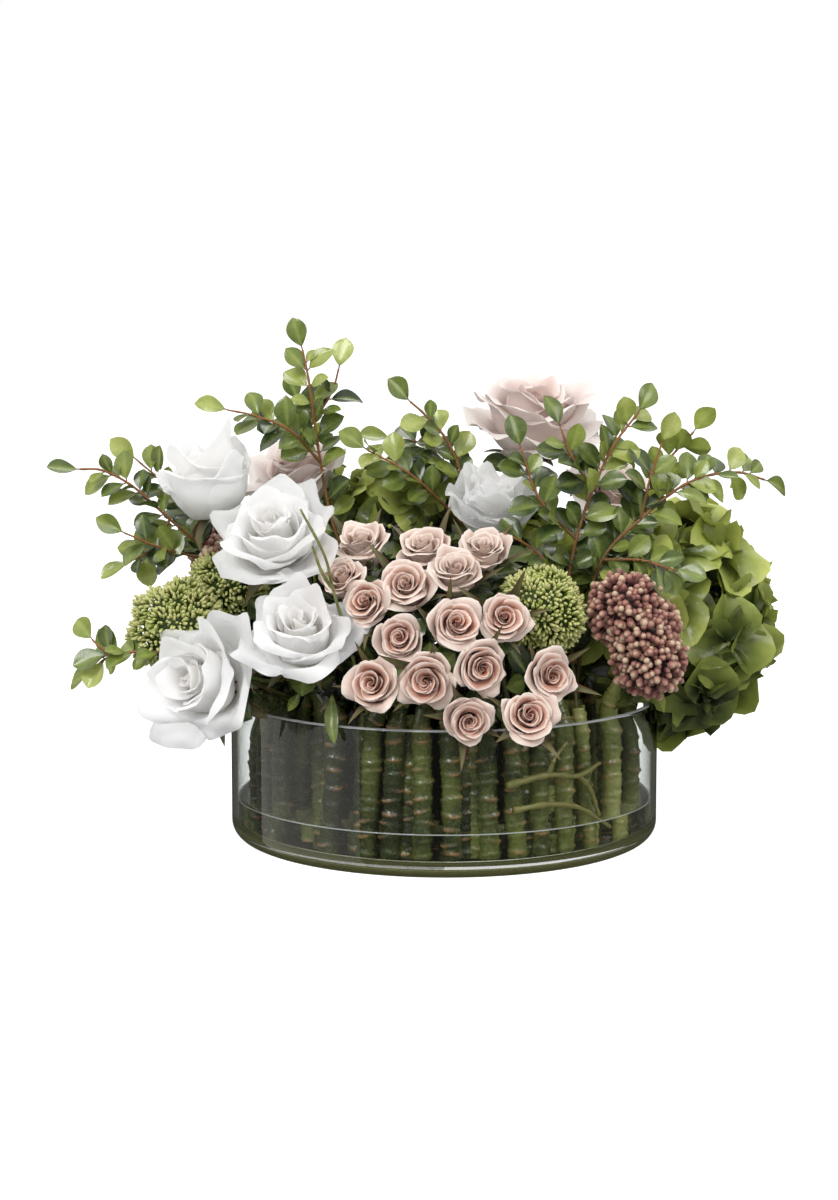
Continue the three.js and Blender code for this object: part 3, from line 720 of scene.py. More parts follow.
def petal(rng, layer, turn, bends, length, radius, spiral, rows):
    """One petal in a head's own frame, in head radii, and the values its material reads."""
    u, t = grid(rows, rows)
    u = 1 - (1 - u) ** 1.4
    side = np.abs(t)
    lean = rng.uniform(-0.25, 0.25)
    reach = 1 - 0.2 * side ** 2.4 + layer.tip * hump(t - lean, 0.22) + 0.1 * lean * t
    reach = reach + layer.wave * 0.5 * np.sin(5.2 * t + rng.uniform(0, ANY_TURN))
    steps = np.linspace(0, 1, 60)
    line = bent_line(steps, np.interp(steps, np.linspace(0, 1, len(bends)), bends), length)
    out, up = (np.interp(u, steps, run) for run in line)
    r, z = radius + out * reach, layer.height + up * reach
    width = layer.half_width * (0.25 + 0.75 * np.sin(np.minimum(u / 0.62, 1) * math.pi / 2))
    across = t * (1 - layer.pinch * smooth(u, 0.5, 1) * side ** 1.5)
    p = ring_of(np.maximum(r, 0.02) + spiral * t, turn + across * width / np.maximum(r, 0.17), z)
    inner = unit(np.cross(np.gradient(p, axis=0), np.gradient(p, axis=1)) + 1e-9)
    a, b, c, d, e = rng.uniform(0, TURN, 5)
    ruffle = 0.8 * np.sin(2.4 * t + a) * smooth(u, 0.1, 0.9)
    ruffle = ruffle + 0.7 * np.sin(6.3 * t + b) * smooth(u, 0.72, 1)
    ruffle = ruffle + 0.5 * np.sin(5.0 * u + c) * side + 0.5 * np.sin(3.6 * u + 2.6 * t + d) * u
    ruffle = ruffle + 0.45 * np.sin(10.5 * t + e) * smooth(u, 0.86, 1)
    folds = np.sin(8 * t + 5 * u + c) * np.sin(7 * u - 3 * t + d)
    ruffle = ruffle + layer.crumple * folds * smooth(u, 0.15, 0.5)
    roll = layer.roll * smooth(side, 0.4, 1.05) * smooth(u, 0.3, 0.95)
    # The rim band, which the material paints with a highlight.
    lip = smooth(np.maximum(u, side * smooth(u, 0.3, 0.8)), 0.93, 1.0)
    return p + inner * (layer.wave * ruffle - roll)[..., None], dict(along=u, across=t, lip=lip)


class Head:
    """Where one rose head sits: its centre, radius, axis and the tip of its stem."""

    def __init__(self, node, tips):
        calyx = CALYX_RISE[node.split("_")[0]]
        middle = solid_middle(node)
        near = tips[np.argsort(np.linalg.norm(tips - middle, axis=1))[:TIP_CORNERS]]
        self.node = node
        self.tip = near.mean(0)
        self.axis = unit(middle - self.tip)
        off = cad_points(node) - self.tip
        across = np.linalg.norm(off - np.outer(off @ self.axis, self.axis), axis=1)
        self.radius = float(across.max() / HEAD_BREADTH)
        self.centre = self.tip + self.axis * (calyx * self.radius + HEAD_GAP)
        self.curl, growth = HEAD_SHAPES.get(node, (1.0, 1.0))
        self.radius *= growth
        self.pale = 0.0
        self.hand = 1
        self.spray = node.startswith("spray")
        if self.spray:
            # The spray's upper heads look up, and all of them crowd their neighbours.
            rise = smooth(self.centre[2], *SPRAY_RISE)
            rng = rng_for(node, 3)
            self.axis = unit(self.axis + [0, 0, 0.45 * rise] + rng.normal(0, 0.13, 3))
            self.radius *= 1.13 + 0.15 * rise
            self.curl = 1.0 - 0.15 * rise + rng.uniform(-0.16, 0.08)
            self.hand = rng.choice((-1, 1))
            self.pale = rise
            self.tip = self.centre - self.axis * calyx * self.radius


def make_rose(head, layers, material, rows):
    rng = rng_for(head.node)
    basis = frame_on(head.axis, rng.uniform(0, TURN))
    flower = Surface()
    start = 0.0
    for number, layer in enumerate(layers):
        depth = max(number / (len(layers) - 1), head.pale)
        start += math.pi / layer.count + rng.uniform(0.1, 0.5)
        for k in range(layer.count):
            turn = start + TURN * k / layer.count + rng.uniform(-0.12, 0.12)
            bends = [b * head.curl + rng.uniform(-7, 7) for b in layer.bends]
            length = layer.length * rng.uniform(0.9, 1.06)
            spiral = layer.spiral * head.hand
            p, values = petal(rng, layer, turn, bends, length, layer.radius + 0.006 * k, spiral, rows)
            flower.add_sheet(head.centre + head.radius * (p @ basis.T), depth=depth, **values)
    finished(flower, head.node + "_petals", [material], head.node)


def add_calyx(surface, head, rng, others, length, droop, breadth=0.17, sink=-0.22):
    """The green cup under a head, and the sepals that stand off it and stay clear of other heads."""
    r = head.radius
    foot = head.tip - head.axis * 0.001
    steps = np.linspace(0, 1, 7)
    radii = r * (0.07 + 0.15 * np.sin(np.pi * 0.62 * steps) ** 0.8)
    add_tube(surface, foot + np.outer(steps * 0.34 * r, head.axis), radii, 12, tone=0.35, lip=0.0)
    basis = frame_on(head.axis, rng.uniform(0, 6))
    rows, cols, sepals = 10, 5, 5
    u, t = grid(rows, cols)
    side = np.abs(t)
    for k in range(sepals):
        turn = TURN * k / sepals + rng.uniform(-0.2, 0.2)
        size = length * r * rng.uniform(0.8, 1.15)
        degrees = np.interp(u[:, 0], [0, 0.4, 1], [droop, droop - 22, droop + rng.uniform(-20, 45)])
        out, up = (run[:, None] for run in bent_line(u[:, 0], degrees, size))
        width = breadth * size * np.sin(np.pi * (0.16 + 0.84 * u) ** 0.8) ** 0.8 * (1 - 0.25 * u)
        x = 0.15 * r + out - 0.5 * side * width * np.cos(np.radians(degrees))[:, None]
        z = 0.16 * r + up + 0.3 * side * width
        points = foot + turned(x, t * width, z, turn) @ basis.T
        middle_line = points[:, cols // 2]
        if clear_of(middle_line[[6, rows - 1]], others, sink * r).all():
            surface.add_sheet(points, tone=0.25 + 0.6 * u, lip=0.8 * side ** 3)


# ---- Stems ------------------------------------------------------------------
def over_the_rim(path):
    """Lifts the part of a neck's path that crosses the bowl's rim."""
    path = np.array(path)
    near = hump(from_centre(path) - BOWL_RADIUS + BOWL_WALL / 2, 0.01)
    near *= smooth(path[:, 2], BOWL_HEIGHT - 0.02, BOWL_HEIGHT - 0.008)
    path[:, 2] += near * np.maximum(BOWL_HEIGHT + RIM_CLEARANCE - path[:, 2], 0)
    return path


def neck(shoulder, tip, heading, k):
    """Points at the fractions `k` of the way from a stalk's shoulder to its flower."""
    k = np.reshape(k, (-1, 1))
    start = shoulder - [0, 0, NECK_DROP]
    control = tip - heading * 0.35 * np.linalg.norm(tip - shoulder)
    return (1 - k) ** 2 * start + 2 * k * (1 - k) * control + k * k * tip


def add_neck(surface, shoulder, tip, heading, radii, tone):
    path = over_the_rim(neck(shoulder, tip, heading, np.linspace(0, 1, 16)))
    add_tube(surface, path, radii, 10, tone=tone, scar=0.0)


def stalk_rings(gone, length, sides, rng):
    """Swelling of each ring vertex where an old leaf left its ridge, and how far it is scar."""
    angle = around(sides)
    extra = np.zeros((len(gone), sides))
    scar = np.zeros((len(gone), sides))
    at = rng.uniform(0.002, 0.006)
    while at < length:
        gap = gone[:, None] - at - 0.0011 * np.cos(angle - rng.uniform(0, ANY_TURN))
        extra += 0.0007 * hump(gap, 0.001) - 0.0004 * hump(gap - 0.0021, 0.0009)
        away = (angle - rng.uniform(0, ANY_TURN) + math.pi) % TURN - math.pi
        scar += hump(gap - 0.0012 * away ** 2, 0.00085) * hump(away, 0.75)
        extra += 0.0012 * hump(gap - 0.0004, 0.0019) * hump(away, 0.55)
        at += rng.uniform(0.0065, 0.0125)
    return extra, np.clip(scar, 0, 1)


def add_stalk(surface, foot, shoulder, radius, rng, tip=None, heading=None, end_radius=STALK_END, sides=16,
              step=STALK_STEP, shade=0.0):
    """A knobbly standing stalk, ringed with leaf scars, that narrows into its neck."""
    straight = shoulder - foot
    thick = np.linalg.norm(straight)
    bow = unit([foot[0], foot[1], 0]) * 0.0015
    sway = np.cross(unit(straight), bow) * rng.uniform(-1, 1)
    points = [foot + straight * part + (bow + sway) * math.sin(k * 0.57)
              for k, part in enumerate(np.linspace(0, 0.93, 6))]
    points.extend([shoulder] if tip is None else neck(shoulder, tip, heading, [0.3, 0.6, 0.85, 1.0]))
    length = line_length(np.array(points))
    rings = int(length / step)
    gone = np.linspace(0, length, rings)
    # Past the shoulder only one ring in four is kept.
    kept = (gone < 1.2 * thick) | (np.arange(rings - 1, -1, -1) % 4 == 0)
    path, gone = over_the_rim(curve_points(points, rings)[kept]), gone[kept]
    radii = radius + (end_radius - radius) * smooth(gone, thick * 0.95, thick * 1.3)
    radii = radii * (1 + 0.05 * np.sin(gone * 210 + rng.uniform(0, 6)) + 0.03 * np.sin(gone * 520))
    extra, scar = stalk_rings(gone, thick * 1.15, sides, rng)
    along = np.repeat(gone / length, sides)
    middle = np.repeat(path, sides, axis=0)
    reach = (radii[:, None] + extra * (radii[:, None] / radius)).reshape(-1, 1)
    rings = middle + unit(tube(path, radii, sides) - middle) * reach
    tone = 0.35 + 0.12 * np.sin(along * 9 + rng.uniform(0, 6)) + 0.25 * smooth(along, 0.75, 1)
    # Painted light and shade: `shade` darkens stalks that stand in shade, and the front stalks right of the
    # middle are painted lighter.
    tone = tone + rng.uniform(-0.16, 0.2) + shade + 0.3 * smooth(foot[0], 0.03, 0.08) * (foot[1] < 0)
    surface.add(*capped(rings, sides, path[0], path[-1]), tone=np.append(tone, [0.3, 0.6]),
                scar=np.append(scar, [0.8, 0]))


def add_pair(surface, node, radius, rng, **first):
    """A stem's two stalks. `first` is what the flower's own stalk has besides. Returns its shoulder."""
    (foot, shoulder), beside = stalk_pair(node, radius)
    add_stalk(surface, foot, shoulder, radius, rng, **first)
    add_stalk(surface, *beside, radius, rng)
    return shoulder


# ---- Roses ------------------------------------------------------------------
heads, stems = {}, {}
for kind in ("white", "garden"):
    for node in nodes_named(kind + "_rose_"):
        stems[node] = node.replace("rose_", "rose_stem_")
        heads[node] = Head(node, cad_points(stems[node]))
spray_tips = {node: cad_points(node) for node in nodes_named("spray_rose_stem_")}
for node in nodes_named("spray_rose_"):
    middle = solid_middle(node)
    stems[node] = min(spray_tips, key=lambda n: np.linalg.norm(spray_tips[n] - middle, axis=1).min())
    heads[node] = Head(node, spray_tips[stems[node]])

stem_surfaces = {}
for node, head in heads.items():
    rng = rng_for(node, 5)
    green = Surface()
    others = [(other.centre, other.radius) for other in heads.values() if other is not head]
    if head.spray:
        make_rose(head, SPRAY_LAYERS, SPRAY_PETAL, 13)
        add_calyx(green, head, rng, others, length=1.8, droop=62, breadth=0.09, sink=-0.03)
    elif node.startswith("white"):
        layers = BUD_LAYERS if node == "white_rose_4" else WHITE_LAYERS
        make_rose(head, layers, WHITE_PETAL, 21)
        add_calyx(green, head, rng, others, length=0.85, droop=140)
    else:
        make_rose(head, GARDEN_LAYERS, BLUSH_PETAL, 19)
        add_calyx(green, head, rng, others, length=0.7, droop=90)
    finished(green, node + "_sepals", [SEPAL])
    if stems[node] not in stem_surfaces:
        surface = Surface()
        shoulder = add_pair(surface, stems[node], STEM_RADIUS, rng, tip=head.tip, heading=head.axis,
                            end_radius=SPRAY_END if head.spray else STALK_END)
        stem_surfaces[stems[node]] = (surface, shoulder)
    else:
        surface, shoulder = stem_surfaces[stems[node]]
        add_neck(surface, shoulder, head.tip, head.axis, np.linspace(0.0024, 0.0017, 16), 0.55)

for twig in BARE_TWIGS:
    steps = 40
    knots = 1 + 0.25 * np.abs(np.sin(np.linspace(0, 16, steps))) ** 6
    path = curve_points(np.array(twig) / MM_IN_A_METRE, steps)
    radii = np.linspace(0.0013, 0.0008, steps) * knots
    add_tube(stem_surfaces["spray_rose_stem_1"][0], path, radii, 8, tone=0.75, scar=0.0)
for node, (surface, _) in stem_surfaces.items():
    finished(surface, node + "_stalk", [STALK], node)

# The thicket of plain stalks behind the outer rings, painted darker for the shade they stand in.
rng = np.random.default_rng(71)
taken = [place[0] for node in STALKS for place in stalk_pair(node, STEM_RADIUS)]
thicket = Surface()
for k in range(THICKET_COUNT):
    ring = THICKET_RADIUS * math.sqrt((k + 0.5) / THICKET_COUNT)
    place = polar(ring, math.degrees(k * GOLDEN) % 360, FOOT_Z)
    gap = min(np.hypot(*(place - other)[:2]) for other in taken)
    if np.hypot(*place[:2]) < THICKET_HOLLOW or gap < THICKET_GAP:
        continue
    taken.append(place)
    lean = [rng.uniform(-0.004, 0.004), rng.uniform(-0.004, 0.004), SHOULDER_Z + 0.008]
    radius = STEM_RADIUS * rng.uniform(0.8, 1.0)
    add_stalk(thicket, place, place * [0.97, 0.97, 0] + lean, radius, rng, sides=9, step=0.0026, shade=-0.35)
finished(thicket, "inner_stalks", [STALK])

# ---- Balls of florets, buds and berries -------------------------------------
BALLS = {node: spheres(rows) for node, rows in BALL_ROWS.items()}
BERRY_LOBES = {node: spheres(rows) for node, rows in LOBE_ROWS.items()}
rose_spheres = [(head.centre, head.radius) for head in heads.values()]


def outside_bowl(points, margin):
    inside = from_centre(points) < BOWL_RADIUS + margin
    return ~(inside & (points[:, 2] < BOWL_HEIGHT + margin))


def off_the_glass(copies, places):
    """Presses each copy that reaches into the bowl against its outer face, or lays it over the rim."""
    radius = from_centre(copies)
    out = BOWL_RADIUS + GLASS_CLEARANCE - radius
    up = BOWL_HEIGHT + GLASS_CLEARANCE - copies[..., 2]
    beside = (from_centre(places) > BOWL_RADIUS)[:, None]
    aside = beside & (out > 0) & (up > -0.008)
    above = ~beside & (up > 0) & (out > -0.008)
    stretch = np.where(aside, 1 + out / radius, 1.0)
    lifted = copies[..., 2] + np.where(above, up, 0)
    return np.stack([copies[..., 0] * stretch, copies[..., 1] * stretch, lifted], -1)


def ball_stem(node, rng):
    """The ball's two stalks, and a neck for each further lobe."""
    surface = Surface()
    feet = [centre - UP * 0.4 * radius for centre, radius in BALLS[node]]
    shoulder = add_pair(surface, node, STEM_RADIUS, rng, tip=feet[0], heading=UP)
    for foot in feet[1:]:
        add_neck(surface, shoulder, foot, UP, 0.0024, 0.5)
    finished(surface, node + "_stalk", [STALK])


def ball_count(radius, area):
    """How many copies of some area cover a ball."""
    return int(4 * math.pi * radius ** 2 / area)


def surface_of(verts, quads, tris, **values):
    surface = Surface()
    surface.add(verts, quads, tris, **values)
    return surface


def floret(rng):
    """Four broad, ruffled petals with round rims, facing +Z, about one unit in radius."""
    flower = Surface()
    u, t = grid(7, 13)
    rim_turn = 0.85 * math.pi * t
    x = 0.04 + u * (0.5 + 0.5 * np.cos(rim_turn))
    y = u * 0.58 * np.sin(rim_turn)
    reach = np.hypot(x, y)
    veins = hump(t, 0.12) * (1 - 0.6 * u) + 0.35 * hump(np.abs(t) - 0.55 * u, 0.08)
    for k in range(4):
        turn = k * TURN / 4 + rng.uniform(-0.15, 0.15)
        ruffle = 0.15 * np.sin(3.6 * t + rng.uniform(0, 6)) * u
        ruffle = ruffle + 0.12 * np.sin(7.5 * t + 3 * u + rng.uniform(0, 6)) * u ** 2
        bowed = 0.2 * u - 0.2 * reach ** 2 * rng.uniform(0, 1.5) + 0.12 * t ** 2 * u
        z = bowed + ruffle + 0.06 * (k % 2)
        # Painted light and shade: each petal is darker at the floret's middle and lighter towards its rim.
        flower.add_sheet(turned(x, y, z, turn), tone=0.95 * (0.1 + 0.75 * reach + 0.12 * t ** 2), rib=veins)
    return flower


def make_hydrangea(node):
    rng = rng_for(node)
    centre, radius = BALLS[node][0]
    bloom = Surface()
    broad = FLORET_SIZE + BIG_FLORET_GAIN * smooth(radius, 0.06, 0.08)
    count = ball_count(radius, 0.62 * broad ** 2 * 1.7)
    out = spread(count, rng, 0.10)
    depth = rng.uniform(0.8, 1.0, count)
    places = centre + out * (radius * 0.93 * depth)[:, None]
    keep = outside_bowl(places, 0.003) & clear_of(places, rose_spheres, -0.004)
    kinds = [floret(rng) for _ in range(FLORET_KINDS)]
    which = rng.integers(0, FLORET_KINDS, count)
    axes = unit(out + rng.normal(0, 0.2, out.shape))
    sizes = broad * rng.uniform(0.82, 1.1, count)
    # Painted light and shade: florets set deeper are darker, and those on a ball's top and left side lighter,
    # as the light falls.
    tones = rng.uniform(-0.2, 0.2, count) + 2.4 * (depth - 0.92) + 0.26 * out[:, 2] - 0.08 * out[:, 0]
    # The balls on the left are painted darker, for the shade they stand in.
    tones = tones + (0.04 if centre[0] > 0 else -0.16)
    bead = surface_of(*globe(5, 6))
    for k, kind in enumerate(kinds):
        mine = keep & (which == k)
        frames = frames_on(axes[mine], rng)
        bloom.add_copies(kind, places[mine], frames, sizes[mine], off_the_glass, tone=tones[mine])
        bloom.add_copies(bead, places[mine] + axes[mine] * 0.002, frames, 0.0022, tone=0.95, rib=0.4)
    # A core ball in the darkest tone is painted shade deep inside the ball.
    core, quads, tris = globe(18, 28)
    dimple = 0.8 + 0.04 * np.sin(core[:, 0] * 9 + 1) * np.sin(core[:, 1] * 8) * np.sin(core[:, 2] * 7 + 2)
    core = centre + core * (radius * dimple)[:, None]
    core[:, 2] = np.maximum(core[:, 2], BOWL_HEIGHT + 0.004)
    bloom.add(core, quads, tris, tone=0.02, rib=0.0)
    finished(bloom, node + "_florets", [HYDRANGEA], node)
    ball_stem(node, rng)


def grain():
    """A grain-shaped bud, one unit long along +Z, paler towards its tip."""
    sides = 5
    waist = ((0.0, 0.3), (0.35, 1.0), (0.85, 0.7))
    rings = np.concatenate([ring_of(0.22 * width, around(sides), z) for z, width in waist])
    quads = grid_quads(len(waist), sides, closed=True)
    tris = fan(len(rings) - sides, sides, len(rings), flip=True)
    tone = np.append(np.repeat([0.15, 0.5, 0.9], sides), 1.0)
    return surface_of(np.vstack([rings, UP]), quads, tris, tone=tone)


def make_green_sedum(node):
    rng = rng_for(node)
    centre, radius = BALLS[node][0]
    head = Surface()
    count = ball_count(radius, BUD_AREA)
    out = spread(count, rng, 0.02)
    clumps = spread(CLUMPS, rng, 0.16)
    nearness = out @ clumps.T
    lift = smooth(nearness.max(1), 0.93, 0.998)
    swell = 1 + 0.05 * np.sin(out[:, 0] * 5 + 1) * np.cos(out[:, 1] * 4)
    swell = swell + 0.05 * np.sin(out[:, 2] * 6 + out[:, 0] * 3)
    places = centre + out * (radius * (0.8 + 0.14 * lift) * swell + rng.normal(0, 0.0009, count))[:, None]
    keep = outside_bowl(places, 0.002) & clear_of(places, rose_spheres + BERRY_LOBES["red_sedum_2"], -0.003)
    off_clump = out - clumps[nearness.argmax(1)]
    axes = unit(out + 3.2 * off_clump + rng.normal(0, 0.2, out.shape))[keep]
    frames = frames_on(axes, rng)
    sizes = rng.uniform(0.0042, 0.0066, len(axes))
    # Painted light and shade: buds raised on a clump are lighter, and buds sunk between clumps darker.
    tones = rng.uniform(-0.15, 0.2, len(axes)) + 0.4 * lift[keep] - 0.1
    head.add_copies(grain(), places[keep], frames, sizes, tone=tones)
    # A core ball in the darkest tone is painted shade deep inside the head.
    core, quads, tris = globe(14, 20)
    head.add(centre + core * radius * 0.76, quads, tris, tone=0.0)
    finished(head, node + "_buds", [SEDUM_GREEN], node)
    ball_stem(node, rng)


def add_lobe(head, centre, radius, others, rng):
    """One lobe of berries, half of them on stalks that are seen between them."""
    verts, quads, tris = globe(6, 7)
    berry = surface_of(verts * [1, 1, 1.12], quads, tris, tone=smooth(verts[:, 2], 0.55, 1.0) * 0.5)
    count = ball_count(radius, BERRY_AREA)
    out = spread(count, rng, 0.06)
    layer = rng.uniform(0.72, 1.06, count)
    places = centre + out * (radius * layer)[:, None]
    keep = outside_bowl(places, 0.003) & clear_of(places, rose_spheres, -0.002)
    keep &= clear_of(places, [(c, r * 0.7) for c, r in others])
    places = places[keep]
    frames = frames_on(out[keep], rng)
    sizes = rng.uniform(0.0021, 0.003, len(places))
    # Painted shade: berries set deeper in the lobe are darker.
    tones = rng.uniform(0.2, 0.75, len(places)) + 1.1 * (layer[keep] - 0.9)
    head.add_copies(berry, places, frames, sizes, tone=tones)
    for spot in places[::2]:
        root = centre + (spot - centre) * 0.55
        bend = (root + spot) / 2 + rng.normal(0, 0.001, 3)
        add_thread(head, [root, bend, spot], 4, tone=0.12)
    # A core ball in the darkest tone is painted shade deep inside the lobe.
    core, quads, tris = globe(12, 16)
    head.add(centre + core * radius * 0.68, quads, tris, tone=0.0)


def make_red_sedum(node):
    rng = rng_for(node)
    head = Surface()
    lobes = BALLS[node] + BERRY_LOBES[node]
    for k, (centre, radius) in enumerate(lobes):
        add_lobe(head, centre, radius, lobes[:k] + lobes[k + 1:], rng)
    finished(head, node + "_berries", [SEDUM_RED], node)
    ball_stem(node, rng)


for node in nodes_named("hydrangea_"):
    make_hydrangea(node)
for node in nodes_named("green_sedum_"):
    make_green_sedum(node)
for node in nodes_named("red_sedum_"):
    make_red_sedum(node)

# ---- Leafy branches ---------------------------------------------------------
# Spheres that the branches' leaves stay out of. The last keeps the left-hand berries' front open.
crowd = [(head.centre, head.radius + (0.005 if head.spray else 0.006)) for head in heads.values()]
crowd += [(c, r + 0.001) for lobes in [*BALLS.values(), *BERRY_LOBES.values()] for c, r in lobes]
crowd += spheres([(-165, -20, 196, 24)])


def leaf_basis(heading, light):
    """Columns along, across and facing of a leaf that turns to the light."""
    across = unit(np.cross(light, heading) + 1e-6)
    return np.stack([heading, across, np.cross(heading, across)], axis=1)


def add_leaf(surface, foot, basis, size, rng, tone, slim=1.0, rows=10, cols=7):
    """One folded, glossy, egg-shaped leaf. Returns its stalk's path."""
    u, t = grid(rows, cols)
    width = 0.5 * slim * size * LEAF_WIDTH / LEAF_LENGTH * rng.uniform(0.95, 1.15)
    y = width * np.sin(math.pi * np.clip(u, 0.001, 0.999) ** 1.25) ** 0.68 * t
    fold, droop, twist = rng.uniform(0.15, 0.4), rng.uniform(-0.05, 0.28), rng.uniform(-0.5, 0.5)
    ripple = 0.012 * size * np.sin(6 * u + 4 * t + rng.uniform(0, 6)) * np.abs(t)
    z = fold * np.abs(y) - droop * size * u ** 2 + ripple
    c, s = np.cos(twist * u), np.sin(twist * u)
    local = np.stack(np.broadcast_arrays(size * (0.1 + 0.9 * u), y * c - z * s, y * s + z * c), -1)
    rib = hump(t, 0.1) * (1 - 0.5 * u)
    surface.add_sheet(foot + local @ basis.T, tone=tone + 0.12 * u - 0.1 * np.abs(t), rib=rib)
    return foot + np.outer([0, 0.06 * size, 0.14 * size], basis[:, 0])


def twig_leaves(leaves, twigs, points, start, rng):
    """Leaves along a twig from the fraction `start` on: one or two at each step, sometimes a third
    half a step on, and one at the tip."""
    last = 400
    path = curve_points(points, last + 1)
    length = line_length(curve_points(points, last))
    tangents = unit(np.gradient(path, axis=0))
    count = int((length * (1 - start)) / LEAF_SPACING)
    for i in range(count + 1):
        at_tip = i == count
        along = 1.0 if at_tip else start + i * LEAF_SPACING / length
        here = min(int(round(along * last)), last)
        between_steps = min(here + int(last / 2 * LEAF_SPACING / length), last)
        for partner in (0, 1, 2):
            if partner and (at_tip or rng.uniform() < (0.05 if partner == 1 else 0.3)):
                continue
            spot = between_steps if partner == 2 else here
            foot, tangent = path[spot], tangents[spot]
            light = unit([foot[0] / 0.4, 0.7 if foot[1] > BACK_Y else -0.7, 0.6])
            side = unit(np.cross(light, tangent))
            over = np.cross(tangent, side)
            turn = math.pi * ((i + partner) % 2) + 0.6 * math.sin(i * GOLDEN) + (0.7 if partner == 2 else 0)
            tilt = 0.1 if at_tip else LEAF_TILT + (rng.uniform(-0.35, 0.15) if partner else 0)
            outward = side * math.cos(turn) + over * math.sin(turn)
            heading = tangent * math.cos(tilt) + outward * math.sin(tilt)
            size = LEAF_LENGTH * (1.08 - 0.12 * along) * (rng.uniform(0.62, 0.95) if partner else 1.0)
            if not clear_of((foot + heading * 0.6 * size)[None], crowd)[0]:
                continue
            tone = 0.38 + 0.3 * smooth(along, 0.3, 1.0) + rng.uniform(-0.28, 0.28)
            stalk = add_leaf(leaves, foot, leaf_basis(heading, light), size, rng, tone)
            add_thread(twigs, stalk, 5, tone=0.5)


def add_twig(twigs, points, first):
    """A twig that is knotted at every leaf and reddens towards its tip."""
    sides = 7
    length = line_length(curve_points(points, 400))
    steps = max(int(length / 0.0022), 12)
    d = np.linspace(0, 1, steps)
    knots = 1 + 0.3 * np.abs(np.sin(d * length / LEAF_SPACING * math.pi)) ** 12
    radii = (0.0014 if first else 0.0011) * (1 - 0.45 * d) * knots
    shade = (0.1 if first else 0.45) + 0.75 * smooth(d, 0.15, 0.8)
    tone = np.append(np.repeat(shade, sides), [0.2, 1.0])
    add_tube(twigs, curve_points(points, steps), radii, sides, tone=tone)


for number, twig_list in enumerate(BRANCHES, 1):
    node = f"leafy_branch_{number}"
    rng = rng_for(node)
    stalk, leaves, twigs = Surface(), Surface(), Surface()
    shoulder = add_pair(stalk, node, TWIG_STEM_RADIUS, rng)
    for order, points in enumerate(twig_list):
        first = order == 0
        points = np.array(points) / MM_IN_A_METRE
        if first:
            points = np.vstack([shoulder - [0, 0, NECK_DROP], points])
        twig_leaves(leaves, twigs, points, 0.36 if first else 0.15, rng)
        add_twig(twigs, points, first)
    finished(stalk, node + "_stalk", [STALK])
    finished(twigs, node + "_twigs", [TWIG])
    finished(leaves, node + "_leaves", [LEAF], node)


# ---- Rose foliage -----------------------------------------------------------
def too_near(point):
    """True where a leaf's middle would sit in a head or ball, or in the bowl's glass."""
    if abs(from_centre(point) - BOWL_RADIUS) < 0.012 and point[2] < BOWL_HEIGHT + 0.006:
        return True
    hearts = [(c, r * 0.8) for c, r in rose_spheres + [lobe for lobes in BALLS.values() for lobe in lobes]]
    return not clear_of(point[None], hearts)[0]


# Leaves on the necks just under each rose.
rng = np.random.default_rng(29)
under = Surface()
for head in heads.values():
    for k in range(LEAVES_UNDER_ROSE):
        spin = frame_on(head.axis, k * GOLDEN + rng.uniform(-0.3, 0.3))
        foot = head.tip - head.axis * rng.uniform(0.002, 0.018)
        heading = unit(spin[:, 0] * rng.uniform(0.6, 1.0) + head.axis * rng.uniform(-0.15, 0.75))
        size = (0.024 if head.spray else 0.03) * rng.uniform(0.75, 1.15)
        if too_near(foot + heading * 0.7 * size) or (foot + heading * size)[2] < BOWL_HEIGHT - 0.012:
            continue
        add_leaf(under, foot, leaf_basis(heading, head.axis), size, rng, rng.uniform(0.05, 0.5))
# Slender leaves that hang over the rim under the lower white roses.
for foot, heading, size in (
    ((-0.076, -0.121, 0.124), (-0.02, -0.62, -0.6), 0.038),
    ((-0.098, -0.108, 0.120), (-0.2, -0.7, -0.25), 0.026),
):
    basis = leaf_basis(unit(heading), unit([0, -0.7, 0.7]))
    add_leaf(under, np.array(foot), basis, size, rng, 0.55, slim=0.4)
finished(under, "rose_leaves", [LEAF])

# A deep layer of leaves that fills the bouquet's middle. Their tones are painted shade: dark, and darker the
# deeper they lie.
fill = Surface()
for direction in spread(FILL_COUNT, rng, 0.15):
    depth = rng.uniform(0.4, 1.0)
    foot = FILL_MIDDLE + direction * depth * FILL_REACH
    if foot[2] < BOWL_HEIGHT - 0.004 or from_centre(foot) > FILL_EDGE:
        continue
    heading = unit(direction * [1, 1, 0.8] + rng.normal(0, 0.4, 3) + [0, 0, 0.2])
    size = rng.uniform(0.026, 0.038)
    if too_near(foot + heading * 0.6 * size):
        continue
    basis = leaf_basis(heading, unit(direction + rng.normal(0, 0.4, 3)))
    add_leaf(fill, foot, basis, size, rng, rng.uniform(-0.1, 0.35) * depth, rows=7, cols=5)
finished(fill, "inner_leaves", [LEAF])

# ---- Root tendril -----------------------------------------------------------
tendril = Surface()
rng = np.random.default_rng(11)
for points, radius in TENDRILS:
    d = np.linspace(0, 1, 60)
    knots = 1.08 + 0.34 * np.abs(np.sin(d * 13 + rng.uniform(0, 3))) ** 8 + 0.1 * np.sin(d * 37)
    path = curve_points([polar(TENDRIL_RADIUS, degrees, z) for degrees, z in points], len(d))
    add_tube(tendril, path, radius * (1.1 - 0.5 * d) * knots, 12, tone=0.5)
finished(tendril, "root_tendril_bark", [ROOT], "root_tendril")


